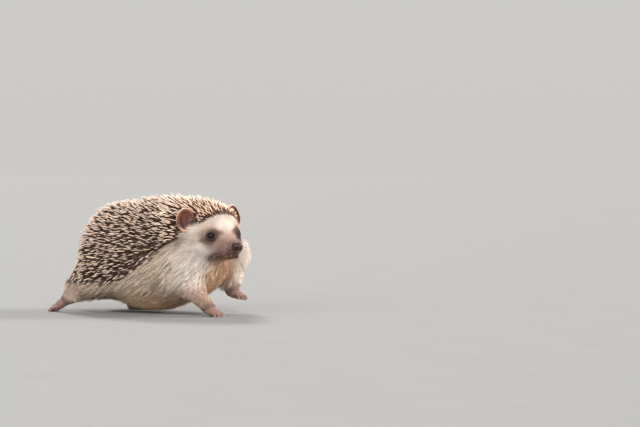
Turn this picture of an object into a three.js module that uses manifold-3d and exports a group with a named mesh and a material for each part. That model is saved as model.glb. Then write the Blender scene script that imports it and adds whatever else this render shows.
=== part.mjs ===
// A four-toed hedgehog at life size, running low over level ground.
// Millimetres, +Z up, +X the way the body heads, +Y the animal's left.
// The whole animal is one signed-distance field, wrapped by spheres and parted by thin cuts.
// Spines and fur locks are bent cones, rooted in the part that they grow from.
import * as THREE from 'three';
import { mergeVertices } from 'three/addons/utils/BufferGeometryUtils.js';
import Module from 'manifold-3d';

// ---------------------------------------------------------------- driving dimensions

const GAP = 0.3; // clearance where two parts meet
const SIDES = { right: -1, left: 1 };

// Head frame: its origin lies midway between the eyes, +x runs to the nose.
const EYES_AT = [81.9, -16, 74.3];
const HEAD_YAW = -30;
const HEAD_ROLL = 4;
const EYE_HALF_SPACING = 13.6;
const EYE_RADIUS = 3.5;
const EAR_SIZE = 22;
const NOSE_SIZE = 9.6;

const TORSO_CORE = 3.5; // under-coat that lies over the skin of the torso
const FACE_CORE = 0.8; // short fur of the face
const TORSO_AXIS = { from: [-42, 0, 50], to: [46, -3, 60], segments: 28, rings: 22 };
const HEAD_AXIS = { from: [-29, 0, -5], to: [8, 0, -10], segments: 30, rings: 24 };
const TORSO_REACH = 110; // no ray runs further than this from the axis
const HEAD_REACH = 62;

// Leans are in degrees, from straight out of the surface.
const SPINE = { length: 14, width: 1.3, lean: 60, spacing: 8.1, sink: 2.2 };
const CROWN_SPINE = { ...SPINE, length: 10, lean: 50, spacing: 6.8 };
const FLANK_LOCK = { length: 22, width: 8, thickness: 1.8, lean: 70, spacing: 11.3, sink: 4 };
const BELLY_LOCK = { ...FLANK_LOCK, length: 15, width: 7.5, lean: 64 };
const SHOULDER_LOCK = { ...FLANK_LOCK, length: 17, width: 7.5, lean: 57 };
const CHEEK_LOCK = { ...FLANK_LOCK, length: 14, width: 6, lean: 62, spacing: 7, sink: 2.4 };
const LEG_LOCK = { ...FLANK_LOCK, length: 11, width: 5, lean: 66, sink: 1.6 };

// ---------------------------------------------------------------- seeded variation

function seededRandom(seed) {
  let state = seed;
  return () => {
    state = (state + 0x6d2b79f5) | 0;
    let mixed = Math.imul(state ^ (state >>> 15), 1 | state);
    mixed = (mixed + Math.imul(mixed ^ (mixed >>> 7), 61 | mixed)) ^ mixed;
    return ((mixed ^ (mixed >>> 14)) >>> 0) / 4294967296;
  };
}

const random = seededRandom(41);
const vary = (amount) => 1 + amount * (2 * random() - 1);

// ---------------------------------------------------------------- solids

const wasm = await Module();
wasm.setup();

function toSolid(geometry) {
  const bare = geometry.clone();
  bare.deleteAttribute('normal');
  bare.deleteAttribute('uv');
  const merged = mergeVertices(bare, 1e-4);
  return new wasm.Manifold(new wasm.Mesh({
    numProp: 3,
    vertProperties: new Float32Array(merged.attributes.position.array),
    triVerts: new Uint32Array(merged.index.array),
  }));
}

function toGeometry(solid) {
  const mesh = solid.getMesh();
  const geometry = new THREE.BufferGeometry();
  const positions = new Float32Array(mesh.vertProperties);
  geometry.setAttribute('position', new THREE.BufferAttribute(positions, 3));
  geometry.setIndex(new THREE.BufferAttribute(new Uint32Array(mesh.triVerts), 1));
  geometry.computeVertexNormals();
  return geometry;
}

/** The largest closed surface of a solid: loose scraps and sealed hollows drop out. */
function largest(solid) {
  const pieces = solid.decompose();
  return pieces.reduce((best, piece) => (piece.volume() > best.volume() ? piece : best));
}

function joined(solids) {
  return wasm.Manifold.union(solids);
}

/** Moves every vertex of a three.js geometry by a function, and makes it a solid. */
function shaped(geometry, move) {
  const position = geometry.attributes.position;
  const point = new THREE.Vector3();
  for (let i = 0; i < position.count; i += 1) {
    move(point.fromBufferAttribute(position, i));
    position.setXYZ(i, point.x, point.y, point.z);
  }
  return toSolid(geometry);
}

function box(low, high) {
  const geometry = new THREE.BoxGeometry(high[0] - low[0], high[1] - low[1], high[2] - low[2]);
  geometry.translate((low[0] + high[0]) / 2, (low[1] + high[1]) / 2, (low[2] + high[2]) / 2);
  return toSolid(geometry);
}

// ---------------------------------------------------------------- the body's field

const vec = (xyz) => new THREE.Vector3(...xyz);
const degrees = THREE.MathUtils.degToRad;

const headFrame = new THREE.Matrix4()
  .makeTranslation(...EYES_AT)
  .multiply(new THREE.Matrix4().makeRotationZ(degrees(HEAD_YAW)))
  .multiply(new THREE.Matrix4().makeRotationX(degrees(HEAD_ROLL)));
const headInverse = headFrame.clone().invert();
const fromHead = (xyz) => vec(xyz).applyMatrix4(headFrame);
const headInverseOf = (point) => point.clone().applyMatrix4(headInverse);
const headWay = (xyz) => vec(xyz).transformDirection(headFrame);

/** An egg of flesh: centre and three radii. */
const lump = (at, radii) => ({ at, radii });
/** A tapering limb of flesh between two round ends. */
const taper = (from, to, startRadius, endRadius) => ({ from, to, startRadius, endRadius });

const TORSO_FLESH = [
  lump([2, 0, 57], [55, 43, 42]),
  lump([-36, 0, 56], [31, 32, 37]),
  lump([2, 0, 39], [46, 33, 31]),
  lump([26, 0, 61], [34, 35, 37]),
  lump([45, -3, 78], [24, 19, 20]),
  lump([44, -3, 49], [30, 26, 25]),
  lump([-44, -21, 37], [19, 14, 18]),
  lump([-42, 21, 37], [19, 14, 18]),
  lump([40, -23, 39], [17, 12, 17]),
  lump([60, 24, 53], [18, 14, 21]),
];

const HEAD_FLESH = [
  lump([-23, 0, 4], [25, 23, 18.5]),
  lump([-11, 0, 4], [15, 18, 15]),
  lump([-13, -11, -9], [16, 11, 11]),
  lump([-13, 11, -9], [16, 11, 11]),
  lump([8, -4.6, -12.5], [9, 6, 5]),
  lump([8, 4.6, -12.5], [9, 6, 5]),
  taper([-4, 0, -6], [13.5, 0, -10], 13.2, 5.2),
  taper([-8, 0, -14], [12, 0, -16.5], 8.5, 3.4),
];

const TORSO_BLEND = 14;
const HEAD_BLEND = 5;
const NECK_BLEND = 12;
const MARCH = 2; // step of a ray that looks for the surface
const HALVINGS = 14; // of the step in which it leaves

function lumpDistance(point, { at, radii }) {
  const x = (point.x - at[0]) / radii[0];
  const y = (point.y - at[1]) / radii[1];
  const z = (point.z - at[2]) / radii[2];
  const reach = Math.hypot(x, y, z);
  const slope = Math.hypot(x / radii[0], y / radii[1], z / radii[2]);
  return slope < 1e-9 ? -Math.min(...radii) : (reach * (reach - 1)) / slope;
}

function taperDistance(point, { from, to, startRadius, endRadius }) {
  const start = vec(from);
  const along = vec(to).sub(start);
  const offset = point.clone().sub(start);
  const share = THREE.MathUtils.clamp(offset.dot(along) / along.lengthSq(), 0, 1);
  const radius = THREE.MathUtils.lerp(startRadius, endRadius, share);
  return offset.addScaledVector(along, -share).length() - radius;
}

function blended(first, second, width) {
  const overlap = Math.max(width - Math.abs(first - second), 0) / width;
  return Math.min(first, second) - (overlap * overlap * width) / 4;
}

function fleshDistance(point, flesh, width) {
  return flesh
    .map((piece) => (piece.at ? lumpDistance(point, piece) : taperDistance(point, piece)))
    .reduce((total, distance) => blended(total, distance, width));
}

const FACE_START = -14; // along the head; behind it the under-coat grows thicker
const TORSO_START = -38;

/** Under-coat depth at a point: thin on the face, thicker from the ears back. */
function coreDepth(inHead) {
  const onFace = THREE.MathUtils.smoothstep(inHead.x, TORSO_START, FACE_START);
  return THREE.MathUtils.lerp(TORSO_CORE, FACE_CORE, onFace);
}

function bodyDistance(point) {
  const inHead = point.clone().applyMatrix4(headInverse);
  const torso = fleshDistance(point, TORSO_FLESH, TORSO_BLEND);
  const head = fleshDistance(inHead, HEAD_FLESH, HEAD_BLEND);
  return blended(torso, head, NECK_BLEND) - coreDepth(inHead);
}

/** How far a ray from inside the body runs before it first leaves the field's given level. */
function exitDistance(start, way, level, reach) {
  const at = (distance) => bodyDistance(start.clone().addScaledVector(way, distance)) - level;
  let outer = MARCH;
  while (outer < reach && at(outer) < 0) {
    outer += MARCH;
  }
  let low = outer - MARCH;
  let high = Math.min(outer, reach);
  for (let i = 0; i < HALVINGS; i += 1) {
    const middle = (low + high) / 2;
    if (at(middle) > 0) {
      high = middle;
    } else {
      low = middle;
    }
  }
  return (low + high) / 2;
}

/** A sphere with its poles on the axis, pulled out to the field's given level. */
function wrapped(axis, level, reach, place) {
  const from = place(axis.from);
  const to = place(axis.to);
  const along = to.clone().sub(from).normalize();
  const turn = new THREE.Quaternion().setFromUnitVectors(new THREE.Vector3(0, -1, 0), along);
  return shaped(new THREE.SphereGeometry(1, axis.segments, axis.rings), (point) => {
    const way = point.clone().applyQuaternion(turn).normalize();
    const start = from.clone().lerp(to, (way.dot(along) + 1) / 2);
    point.copy(start).addScaledVector(way, exitDistance(start, way, level, reach));
  });
}

function outwardAt(point) {
  const step = 0.4;
  const slope = (x, y, z) => bodyDistance(point.clone().add(new THREE.Vector3(x, y, z)));
  return new THREE.Vector3(
    slope(step, 0, 0) - slope(-step, 0, 0),
    slope(0, step, 0) - slope(0, -step, 0),
    slope(0, 0, step) - slope(0, 0, -step),
  ).normalize();
}

// ---------------------------------------------------------------- tapered and bent pieces

/**
 * A closed cone bent along a path: a spine, lock or claw. Its section has a width across
 * the lie and a thickness away from the surface. Its profile lists how wide it is and where.
 */
function bentCone({ root, way, across, curl, length, width, thickness, sides, profile }) {
  const steps = profile.length - 1;
  const geometry = new THREE.ConeGeometry(1, 1, sides, steps);
  return shaped(geometry, (point) => {
    const [share, fullness] = profile[Math.round((point.y + 0.5) * steps)];
    const middle = Math.hypot(point.x, point.z) < 1e-6;
    const angle = Math.atan2(point.z, point.x);
    const tangent = way.clone().addScaledVector(curl, 2 * share).normalize();
    const rise = across.clone().cross(tangent);
    const swell = middle ? 0 : fullness / 2;
    point.copy(root).addScaledVector(way, length * share);
    point.addScaledVector(curl, length * share * share);
    point.addScaledVector(across, Math.cos(angle) * width * swell);
    point.addScaledVector(rise, Math.sin(angle) * thickness * swell);
  });
}

/** The skin of a round limb along a curve: a place, its outward way and its way to the foot. */
function limbSkin(points, radii, grow = 0) {
  const curve = new THREE.CatmullRomCurve3(points.map(vec));
  const fullness = curve.getLength() / (2 * Math.max(...radii));
  return (share, angle, swell = 1) => {
    const place = share * (radii.length - 1);
    const index = Math.min(Math.floor(place), radii.length - 2);
    const radius = THREE.MathUtils.lerp(radii[index], radii[index + 1], place - index) + grow;
    const rounding = Math.sqrt(Math.max(0, 1 - Math.abs(2 * share - 1) ** (2 * fullness)));
    const tangent = curve.getTangent(share);
    const across = new THREE.Vector3(0, 0, 1).cross(tangent).normalize();
    const rise = tangent.clone().cross(across);
    const outward = across.multiplyScalar(Math.cos(angle)).addScaledVector(rise, Math.sin(angle));
    const spot = curve.getPoint(share).addScaledVector(outward, radius * rounding * swell);
    return { spot, outward, tangent };
  };
}

/** A round limb along a curve through points, with a radius at each of them. */
function limb(points, radii, sides, rings, grow = 0) {
  const skin = limbSkin(points, radii, grow);
  return shaped(new THREE.SphereGeometry(1, sides, rings), (point) => {
    const pole = Math.hypot(point.x, point.z) < 1e-6;
    point.copy(skin((1 - point.y) / 2, Math.atan2(point.z, point.x), pole ? 0 : 1).spot);
  });
}

function egg(at, radii, segments, rings, place = null) {
  const geometry = new THREE.SphereGeometry(1, segments, rings);
  geometry.scale(...radii);
  geometry.translate(...at);
  if (place) {
    geometry.applyMatrix4(place);
  }
  return toSolid(geometry);
}

/** A round tube along a curve through points that are already in place. */
function tube(points, radius, sides, steps) {
  const section = new THREE.Shape();
  for (let i = 0; i < sides; i += 1) {
    const angle = (2 * Math.PI * i) / sides;
    const corner = [radius * Math.cos(angle), radius * Math.sin(angle)];
    if (i === 0) {
      section.moveTo(...corner);
    } else {
      section.lineTo(...corner);
    }
  }
  const extrudePath = new THREE.CatmullRomCurve3(points);
  return toSolid(new THREE.ExtrudeGeometry(section, { steps, extrudePath, bevelEnabled: false }));
}

// ---------------------------------------------------------------- thin cuts between parts

const FAR = 200;
const NECK_TILT = 36.5; // degrees that the neck's cut leans back
const NECK_PLACE = headFrame.clone()
  .multiply(new THREE.Matrix4().makeTranslation(-28, 0, -1))
  .multiply(new THREE.Matrix4().makeRotationY(degrees(-NECK_TILT)));
const NECK_INVERSE = NECK_PLACE.clone().invert();

/** Distance in front of the cut between neck and head. */
function aheadOfNeck(point) {
  return point.clone().applyMatrix4(NECK_INVERSE).x;
}

function neckRegion(side) {
  const geometry = new THREE.BoxGeometry(FAR, 2 * FAR, 2 * FAR);
  geometry.translate(side * (FAR / 2 + GAP / 2), 0, 0);
  geometry.applyMatrix4(NECK_PLACE);
  return toSolid(geometry);
}

// The spiny mantle ends along a line that climbs from the flank to behind the ear.
const EDGE_LOW = 31;
const EDGE_RISE = 44;
const EDGE_MIDDLE = 21;
const EDGE_RUN = 12.5;

function mantleEdge(x) {
  return EDGE_LOW + EDGE_RISE / (1 + Math.exp((EDGE_MIDDLE - x) / EDGE_RUN));
}

/** Everything above the mantle's edge, lowered or raised by a clearance. */
function mantleRegion(shift) {
  const outline = new THREE.Shape();
  outline.moveTo(-FAR, FAR);
  outline.lineTo(-FAR, mantleEdge(-FAR) + shift);
  for (let x = -60; x <= 90; x += 6) {
    outline.lineTo(x, mantleEdge(x) + shift);
  }
  outline.lineTo(FAR, mantleEdge(FAR) + shift);
  outline.lineTo(FAR, FAR);
  const geometry = new THREE.ExtrudeGeometry(outline, { depth: 2 * FAR, bevelEnabled: false });
  geometry.rotateX(Math.PI / 2);
  geometry.translate(0, FAR, 0);
  return toSolid(geometry);
}

// The rump parts from the back on a cone about the body's axis, as steep as the spines lean.
const RUMP_CUT = { x: -14, axisHeight: 55, girth: 46 };

function behindRumpCut(point) {
  const out = Math.hypot(point.y, point.z - RUMP_CUT.axisHeight) - RUMP_CUT.girth;
  const lean = degrees(SPINE.lean);
  return (RUMP_CUT.x - point.x) * Math.cos(lean) - out * Math.sin(lean);
}

function rumpRegion(shift) {
  const slope = Math.tan(degrees(SPINE.lean));
  const length = FAR;
  const geometry = new THREE.ConeGeometry(length / slope, length, 32, 1);
  geometry.rotateZ(-Math.PI / 2);
  const tip = RUMP_CUT.x + RUMP_CUT.girth * slope + shift;
  geometry.translate(tip - length / 2, 0, RUMP_CUT.axisHeight);
  return toSolid(geometry);
}

const CROWN = { at: [-52, 0, 24], radii: [44, 48, 30] };

function crownRegion(grow) {
  return egg(CROWN.at, CROWN.radii.map((radius) => radius + grow), 24, 16, headFrame);
}

function insideCrown(point, grow) {
  const offset = headInverseOf(point).sub(vec(CROWN.at));
  return offset.divide(vec(CROWN.radii.map((radius) => radius + grow))).length() < 1;
}

// ---------------------------------------------------------------- forms of the coat

const SPREAD_TRIES = 12000;
const SPREAD_REACH = 100;
const EDGE_MARGIN = 2.6; // roots keep this far from an edge of their part
const TIP_MARGIN = 0.9; // tips keep this far from a cut
const LEAN_EASES = [0, 12, 24]; // a form that would cross a cut is leaned less by these
const SPINE_STRAY = 6;
const LOCK_STRAY = 4;

const RUMP_TURN = { start: 44, end: 76, level: 0.15, steep: 1.6 };

/** Spines point back, and more and more down over the rump. */
function spineHeading(spot) {
  const { start, end, level, steep } = RUMP_TURN;
  return vec([-1, 0, -level - steep * THREE.MathUtils.smoothstep(-spot.x, start, end)]);
}

/** Points spread evenly over the body, a spacing apart, wherever the coat grows. */
function spread(axis, place, spacing, grows) {
  const from = place(axis.from);
  const to = place(axis.to);
  const along = to.clone().sub(from).normalize();
  const spots = [];
  for (let i = 0; i < SPREAD_TRIES; i += 1) {
    const height = 2 * random() - 1;
    const turn = 2 * Math.PI * random();
    const ring = Math.sqrt(1 - height * height);
    const way = new THREE.Vector3(ring * Math.cos(turn), ring * Math.sin(turn), height);
    const start = from.clone().lerp(to, (way.dot(along) + 1) / 2);
    const spot = start.addScaledVector(way, exitDistance(start, way, 0, SPREAD_REACH));
    if (grows(spot) && spots.every((other) => other.distanceTo(spot) > spacing)) {
      spots.push(spot);
    }
  }
  return spots;
}

/** A form's own axis: tipped over from the surface normal towards a heading, by its lean. */
function lying(outward, heading, lean) {
  const lie = heading.clone().addScaledVector(outward, -heading.dot(outward)).normalize();
  const way = outward.clone().multiplyScalar(Math.cos(degrees(lean)));
  way.addScaledVector(lie, Math.sin(degrees(lean)));
  return { way, lie, across: lie.clone().cross(outward).normalize() };
}

/** A spine: three-sided, thickest at its middle, and bent a little over its back. */
function spineForm(spot, outward, heading, { length, width, lean, sink }) {
  const { way, lie, across } = lying(outward, heading, lean);
  return {
    root: spot.clone().addScaledVector(way, -sink),
    way,
    across,
    curl: lie.multiplyScalar(0.08 * vary(0.8)),
    length: length * vary(0.12) + sink,
    width,
    thickness: width,
    sides: 3,
    profile: [[0, 0.85], [0.6, 1], [1, 0]],
  };
}

/** A lock: flat, broadest at its middle, its tip bent back down to the coat. */
function lockForm(spot, outward, heading, { length, width, thickness, lean, sink }) {
  const { way, across } = lying(outward, heading, lean + LOCK_STRAY * (2 * random() - 1));
  return {
    root: spot.clone().addScaledVector(way, -sink),
    way,
    across,
    curl: outward.clone().multiplyScalar(-0.15 * vary(0.4)),
    length: length * vary(0.14) + sink,
    width: width * vary(0.15),
    thickness,
    sides: 3,
    profile: [[0, 0.75], [0.35, 1], [0.72, 0.75], [1, 0]],
  };
}

const grown = (form, by) => ({
  ...form,
  length: form.length + by,
  width: form.width + 2 * by,
  thickness: form.thickness + 2 * by,
});

/** A point on a form's middle line, at a share of the way from its root to its tip. */
const pointAlong = ({ root, way, curl, length }, share) => (
  root.clone().addScaledVector(way, length * share).addScaledVector(curl, length * share * share)
);

const tipOf = (form) => pointAlong(form, 1);

/** The forms' solids, thicker and longer by an amount. */
const solidsOf = (forms, by = 0) => forms.map((form) => bentCone(grown(form, by)));

/** The form at a spot, less and less leaned until its tip is allowed, or none. */
function fitted(make, lean, allowed) {
  const forms = LEAN_EASES.map((ease) => make(lean - ease));
  return forms.filter((form) => allowed(tipOf(form))).slice(0, 1);
}

/** Spines of back and rump, on either side of the cut between them. */
function backSpines() {
  const spots = spread(TORSO_AXIS, vec, SPINE.spacing, (spot) => (
    spot.z > mantleEdge(spot.x) + EDGE_MARGIN
      && aheadOfNeck(spot) < -EDGE_MARGIN
      && Math.abs(behindRumpCut(spot)) > TIP_MARGIN
  ));
  const onRump = (spot) => behindRumpCut(spot) > 0;
  const grow = (spot, allowed) => fitted(
    (lean) => spineForm(spot, outwardAt(spot), spineHeading(spot), { ...SPINE, lean }),
    SPINE.lean + SPINE_STRAY * (2 * random() - 1),
    allowed,
  );
  return {
    back: spots.filter((spot) => !onRump(spot)).flatMap((spot) => grow(spot, (tip) => (
      behindRumpCut(tip) < -TIP_MARGIN && aheadOfNeck(tip) < -TIP_MARGIN
    ))),
    rump: spots.filter(onRump).flatMap((spot) => grow(spot, (tip) => (
      behindRumpCut(tip) > TIP_MARGIN
    ))),
  };
}

const CROWN_FAN = 22; // distance from the middle at which a crown spine leans 45 degrees aside

/** Spines of the crown part to both sides from the middle of the brow. */
function crownSpines() {
  const spots = spread(HEAD_AXIS, fromHead, CROWN_SPINE.spacing, (spot) => (
    insideCrown(spot, -EDGE_MARGIN) && aheadOfNeck(spot) > EDGE_MARGIN
  ));
  return spots.flatMap((spot) => {
    const { y } = headInverseOf(spot);
    const heading = headWay([-1, y / CROWN_FAN, 0.1]);
    return fitted(
      (lean) => spineForm(spot, outwardAt(spot), heading, { ...CROWN_SPINE, lean }),
      CROWN_SPINE.lean + SPINE_STRAY * (2 * random() - 1),
      (tip) => aheadOfNeck(tip) > TIP_MARGIN,
    );
  });
}

const BELLY_FACING = -0.75; // where the surface faces further down than this is the belly
const SHOULDER = { x: 48, y: 8, z: 42 }; // the far shoulder lies beyond this corner
const FUR_FALL = 0.35; // how much steeper the flank's fur falls than the mantle's edge
const LOW_FUR = { below: 6, flatter: 5 }; // degrees flatter for each millimetre nearer the floor

/** The fur's way: back along the mantle's edge, and down on shoulder, chest and rump. */
function furHeading(spot, outward) {
  if (outward.z < BELLY_FACING) {
    return vec([-1, 0, 0]);
  }
  const low = 1 - 0.6 * THREE.MathUtils.smoothstep(spot.z, 50, 70);
  const front = low * THREE.MathUtils.smoothstep(spot.x, 30, 68);
  const rear = 0.7 * THREE.MathUtils.smoothstep(-spot.x, RUMP_TURN.start, RUMP_TURN.end);
  const fall = mantleEdge(spot.x + 1) - mantleEdge(spot.x) + FUR_FALL;
  return vec([-THREE.MathUtils.lerp(1, 0.25, front), 0, -Math.max(fall, front) - rear]);
}

function furKind(spot, outward) {
  if (outward.z < BELLY_FACING) {
    return BELLY_LOCK;
  }
  const onShoulder = spot.x > SHOULDER.x && spot.y > SHOULDER.y && spot.z > SHOULDER.z;
  return onShoulder ? SHOULDER_LOCK : FLANK_LOCK;
}

const LOCK_CHECKS = [0.15, 0.5, 0.75, 1]; // shares along a lock that stay clear of the legs

/** Locks of flank, shoulder, chest and belly, below the mantle's edge. */
function undersideLocks() {
  const spots = spread(TORSO_AXIS, vec, FLANK_LOCK.spacing, (spot) => (
    spot.z < mantleEdge(spot.x) - EDGE_MARGIN && aheadOfNeck(spot) < -2 * EDGE_MARGIN
  ));
  return spots.map((spot) => {
    const outward = outwardAt(spot);
    const kind = furKind(spot, outward);
    const lean = kind.lean + LOW_FUR.flatter * Math.max(0, LOW_FUR.below - spot.z);
    return lockForm(spot, outward, furHeading(spot, outward), { ...kind, lean });
  }).filter((form) => (
    tipOf(form).z > TIP_MARGIN && LOCK_CHECKS.every((share) => clearOfLegs(pointAlong(form, share)))
  ));
}

const RUFF = { back: -38, front: -12, top: 5, inner: 12, way: [-0.8, 0.35, -0.5] };

/** The ruff: locks of the cheeks that lie back over neck and shoulder. */
function cheekLocks() {
  const spots = spread(HEAD_AXIS, fromHead, CHEEK_LOCK.spacing, (spot) => {
    const { x, y, z } = headInverseOf(spot);
    const onCheek = x > RUFF.back && x < RUFF.front && z < RUFF.top && Math.abs(y) > RUFF.inner;
    return onCheek && !insideCrown(spot, 0) && aheadOfNeck(spot) > EDGE_MARGIN;
  });
  return spots.map((spot) => {
    const [back, out, down] = RUFF.way;
    const heading = headWay([back, out * Math.sign(headInverseOf(spot).y), down]);
    return lockForm(spot, outwardAt(spot), heading, CHEEK_LOCK);
  });
}

const LEG_CLEARANCE = 1; // share of a leg's radius that a lock's middle line may not enter

const LEG_CHECKS = 12; // steps along a leg

/** Whether a point lies outside every leg. */
function clearOfLegs(point) {
  return LEGS.every(({ points, radii }) => {
    const curve = new THREE.CatmullRomCurve3(points.map(vec));
    return curve.getPoints(LEG_CHECKS).every((middle, i) => {
      const place = (i / LEG_CHECKS) * (radii.length - 1);
      const index = Math.min(Math.floor(place), radii.length - 2);
      const radius = THREE.MathUtils.lerp(radii[index], radii[index + 1], place - index);
      return middle.distanceTo(point) > LEG_CLEARANCE * radius;
    });
  });
}

/** Locks down the back and the outside of a leg. */
function legLocks({ points, radii, locks }) {
  const skin = limbSkin(points, radii);
  return locks.map(([share, turn]) => {
    const { spot, outward, tangent } = skin(share, degrees(turn));
    return lockForm(spot, outward, tangent, LEG_LOCK);
  });
}

// ---------------------------------------------------------------- flesh, whole and parted

const coarser = (axis) => ({ ...axis, segments: axis.segments - 6, rings: axis.rings - 4 });
const torso = wrapped(TORSO_AXIS, 0, TORSO_REACH, vec).intersect(neckRegion(-1));
const torsoClear = wrapped(TORSO_AXIS, GAP, TORSO_REACH, vec);
const headWhole = wrapped(HEAD_AXIS, 0, HEAD_REACH, fromHead).intersect(neckRegion(1));
const headClear = wrapped(HEAD_AXIS, GAP, HEAD_REACH, fromHead);
const crownWhole = wrapped(coarser(HEAD_AXIS), 0, HEAD_REACH, fromHead).intersect(neckRegion(1));
const mantle = wrapped(coarser(TORSO_AXIS), 0, TORSO_REACH, vec)
  .intersect(neckRegion(-1))
  .intersect(mantleRegion(GAP));

/** Where a ray in the head frame leaves the head. */
function headSurface(from, toward) {
  const start = fromHead(from);
  const way = fromHead(toward).sub(start).normalize();
  return start.addScaledVector(way, exitDistance(start, way, 0, HEAD_REACH));
}

// ---------------------------------------------------------------- eyes and lids

const EYE_SHOWN = 1.9; // how far the ball stands proud of the face
const LID_WIDTH = 1.3;
const LID_RADIUS = EYE_RADIUS + 0.75;
const BROW_MIDDLE = [-5, 0, -1]; // rays to the eyes start here

function eye(side) {
  const spot = headSurface(BROW_MIDDLE, [0, side * EYE_HALF_SPACING, 0]);
  const outward = outwardAt(spot);
  const centre = spot.clone().addScaledVector(outward, EYE_SHOWN - EYE_RADIUS);
  const turn = new THREE.Quaternion().setFromUnitVectors(new THREE.Vector3(0, 0, 1), outward);
  const place = new THREE.Matrix4().compose(centre, turn, new THREE.Vector3(1, 1, 1));
  const ball = egg([0, 0, 0], Array(3).fill(EYE_RADIUS), 12, 8, place);
  const socket = egg([0, 0, 0], Array(3).fill(EYE_RADIUS + GAP), 10, 7, place);
  const rim = new THREE.TorusGeometry(LID_RADIUS, LID_WIDTH / 2, 4, 11);
  rim.translate(0, 0, EYE_RADIUS - EYE_SHOWN + 0.1);
  rim.applyMatrix4(place);
  return { ball, socket, lids: toSolid(rim) };
}

// ---------------------------------------------------------------- nose and mouth

const NOSE_AT = [19.8, 0, -10.4];
const NOSTRIL = { length: 4, width: 3.4, thickness: 1.9 };

function nose(grow) {
  const half = NOSE_SIZE / 2 + grow;
  const ball = egg(NOSE_AT, [half * 1.05, half, half * 0.94], 10, 7, headFrame);
  const [x, , z] = NOSE_AT;
  const wings = Object.values(SIDES).map((side) => (
    egg([x + 1.8, side * 2.5, z - 0.6], [3 + grow, 2.5 + grow, 2.8 + grow], 7, 5, headFrame)
  ));
  return joined([ball, ...wings]);
}

function nostrils() {
  const [x, , z] = NOSE_AT;
  return joined(Object.values(SIDES).map((side) => {
    const start = fromHead([x + 2.6, side * 2.3, z - 0.7]);
    const way = headWay([0.9, side * 0.5, -0.1]);
    return bentCone({
      ...NOSTRIL,
      root: start.clone().addScaledVector(way, NOSTRIL.length),
      way: way.clone().negate(),
      across: headWay([0, 0, 1]),
      curl: new THREE.Vector3(),
      sides: 6,
      profile: [[0, 1], [0.5, 0.6], [1, 0]],
    });
  }));
}

// The mouth runs from below one eye, round under the nose, to below the other.
const MOUTH_AIMS = [[-3, 14, -18.4], [4, 11.5, -20.2], [11, 7.5, -19.6], [16, 3.6, -17.6]];
const MOUTH_FRONT = [18, 0, -16.8];
const MUZZLE_MIDDLE = [2, 0, -10]; // rays to the mouth and the whiskers start here
const MOUTH_WIDTH = 1.0;
const LIP_WIDTH = 1.5;
const LIP_LIFT = 0.9; // from the mouth's line to the middle of each lip

function mouthLine(lift, proud) {
  const right = MOUTH_AIMS.map(([x, y, z]) => [x, -y, z]);
  const left = [...MOUTH_AIMS].reverse();
  return [...right, MOUTH_FRONT, ...left].map(([x, y, z]) => {
    const spot = headSurface(MUZZLE_MIDDLE, [x, y, z]);
    return spot.addScaledVector(outwardAt(spot), proud).add(headWay([0, 0, 1]).multiplyScalar(lift));
  });
}

// ---------------------------------------------------------------- whiskers

const WHISKER = { length: 25, width: 0.7, thickness: 0.7, sink: 2, droop: 0.12 };
const WHISKER_ROOTS = [[14, 6, -9.5], [12, 8, -12], [9, 10, -10.5], [10, 9, -15]];

/** A row of stiff hairs out of one side of the muzzle, swept a little forward. */
function whiskers(side) {
  return WHISKER_ROOTS.map(([x, y, z]) => {
    const spot = headSurface(MUZZLE_MIDDLE, [x, side * y, z]);
    const way = outwardAt(spot).add(headWay([1, 0, 0.1 * vary(2)])).normalize();
    const across = way.clone().cross(headWay([0, 0, 1])).normalize();
    return {
      ...WHISKER,
      root: spot.clone().addScaledVector(way, -WHISKER.sink),
      way,
      across,
      curl: new THREE.Vector3(0, 0, -WHISKER.droop),
      length: WHISKER.length * vary(0.12) + WHISKER.sink,
      sides: 3,
      profile: [[0, 1], [0.5, 0.85], [1, 0]],
    };
  });
}

// ---------------------------------------------------------------- ears

const EAR_TURN = 50; // degrees that each cup faces outward
const EAR_TILT = 12; // degrees that it leans back
const EAR_WALL = 1.5;
const EAR_RADII = [5.2, 0.43 * EAR_SIZE, 0.5 * EAR_SIZE];
const EAR_PROUD = 4.2; // how far a cup's middle stands off the head
const EAR_FRONT_LOW = 1.2; // how far the cup is moved to the front, which lowers its front rim

function earPlace(side) {
  const root = headInverseOf(headSurface([-21, 0, 7], [-20.5, side * 26, 16.5]));
  return headFrame.clone()
    .multiply(new THREE.Matrix4().makeTranslation(root.x, root.y + side * EAR_PROUD, root.z))
    .multiply(new THREE.Matrix4().makeRotationZ(degrees(side * EAR_TURN)))
    .multiply(new THREE.Matrix4().makeRotationY(degrees(-EAR_TILT)));
}

function earShell(side, grow) {
  return egg([0, 0, 0], EAR_RADII.map((radius) => radius + grow), 12, 8, earPlace(side));
}

function ear(side) {
  const [depth, width, height] = EAR_RADII;
  const radii = [depth + EAR_WALL, width - EAR_WALL, height - EAR_WALL];
  const cup = egg([depth, -side * EAR_FRONT_LOW, 0], radii, 12, 7, earPlace(side));
  return earShell(side, 0).subtract(cup);
}

// ---------------------------------------------------------------- legs, paws and tail

const FORE_LEGS = {
  right: {
    points: [[36, -22, 42], [50, -28, 29], [60, -27.5, 19], [71, -25.5, 8]],
    radii: [13, 10.5, 7.6, 4.4],
    wrist: [70, -25.5, 6.5],
    heading: -2,
    dip: 14,
    locks: [[0.42, 150], [0.5, 190], [0.52, 235], [0.6, 270]],
  },
  left: {
    points: [[52, 18, 50], [63, 22, 41], [69, 21.5, 30], [70, 20.5, 20.5]],
    radii: [13, 11, 8, 4.4],
    wrist: [69.5, 20.5, 20],
    heading: 0,
    dip: 12,
    locks: [[0.6, 20], [0.62, 300]],
  },
};

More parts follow.
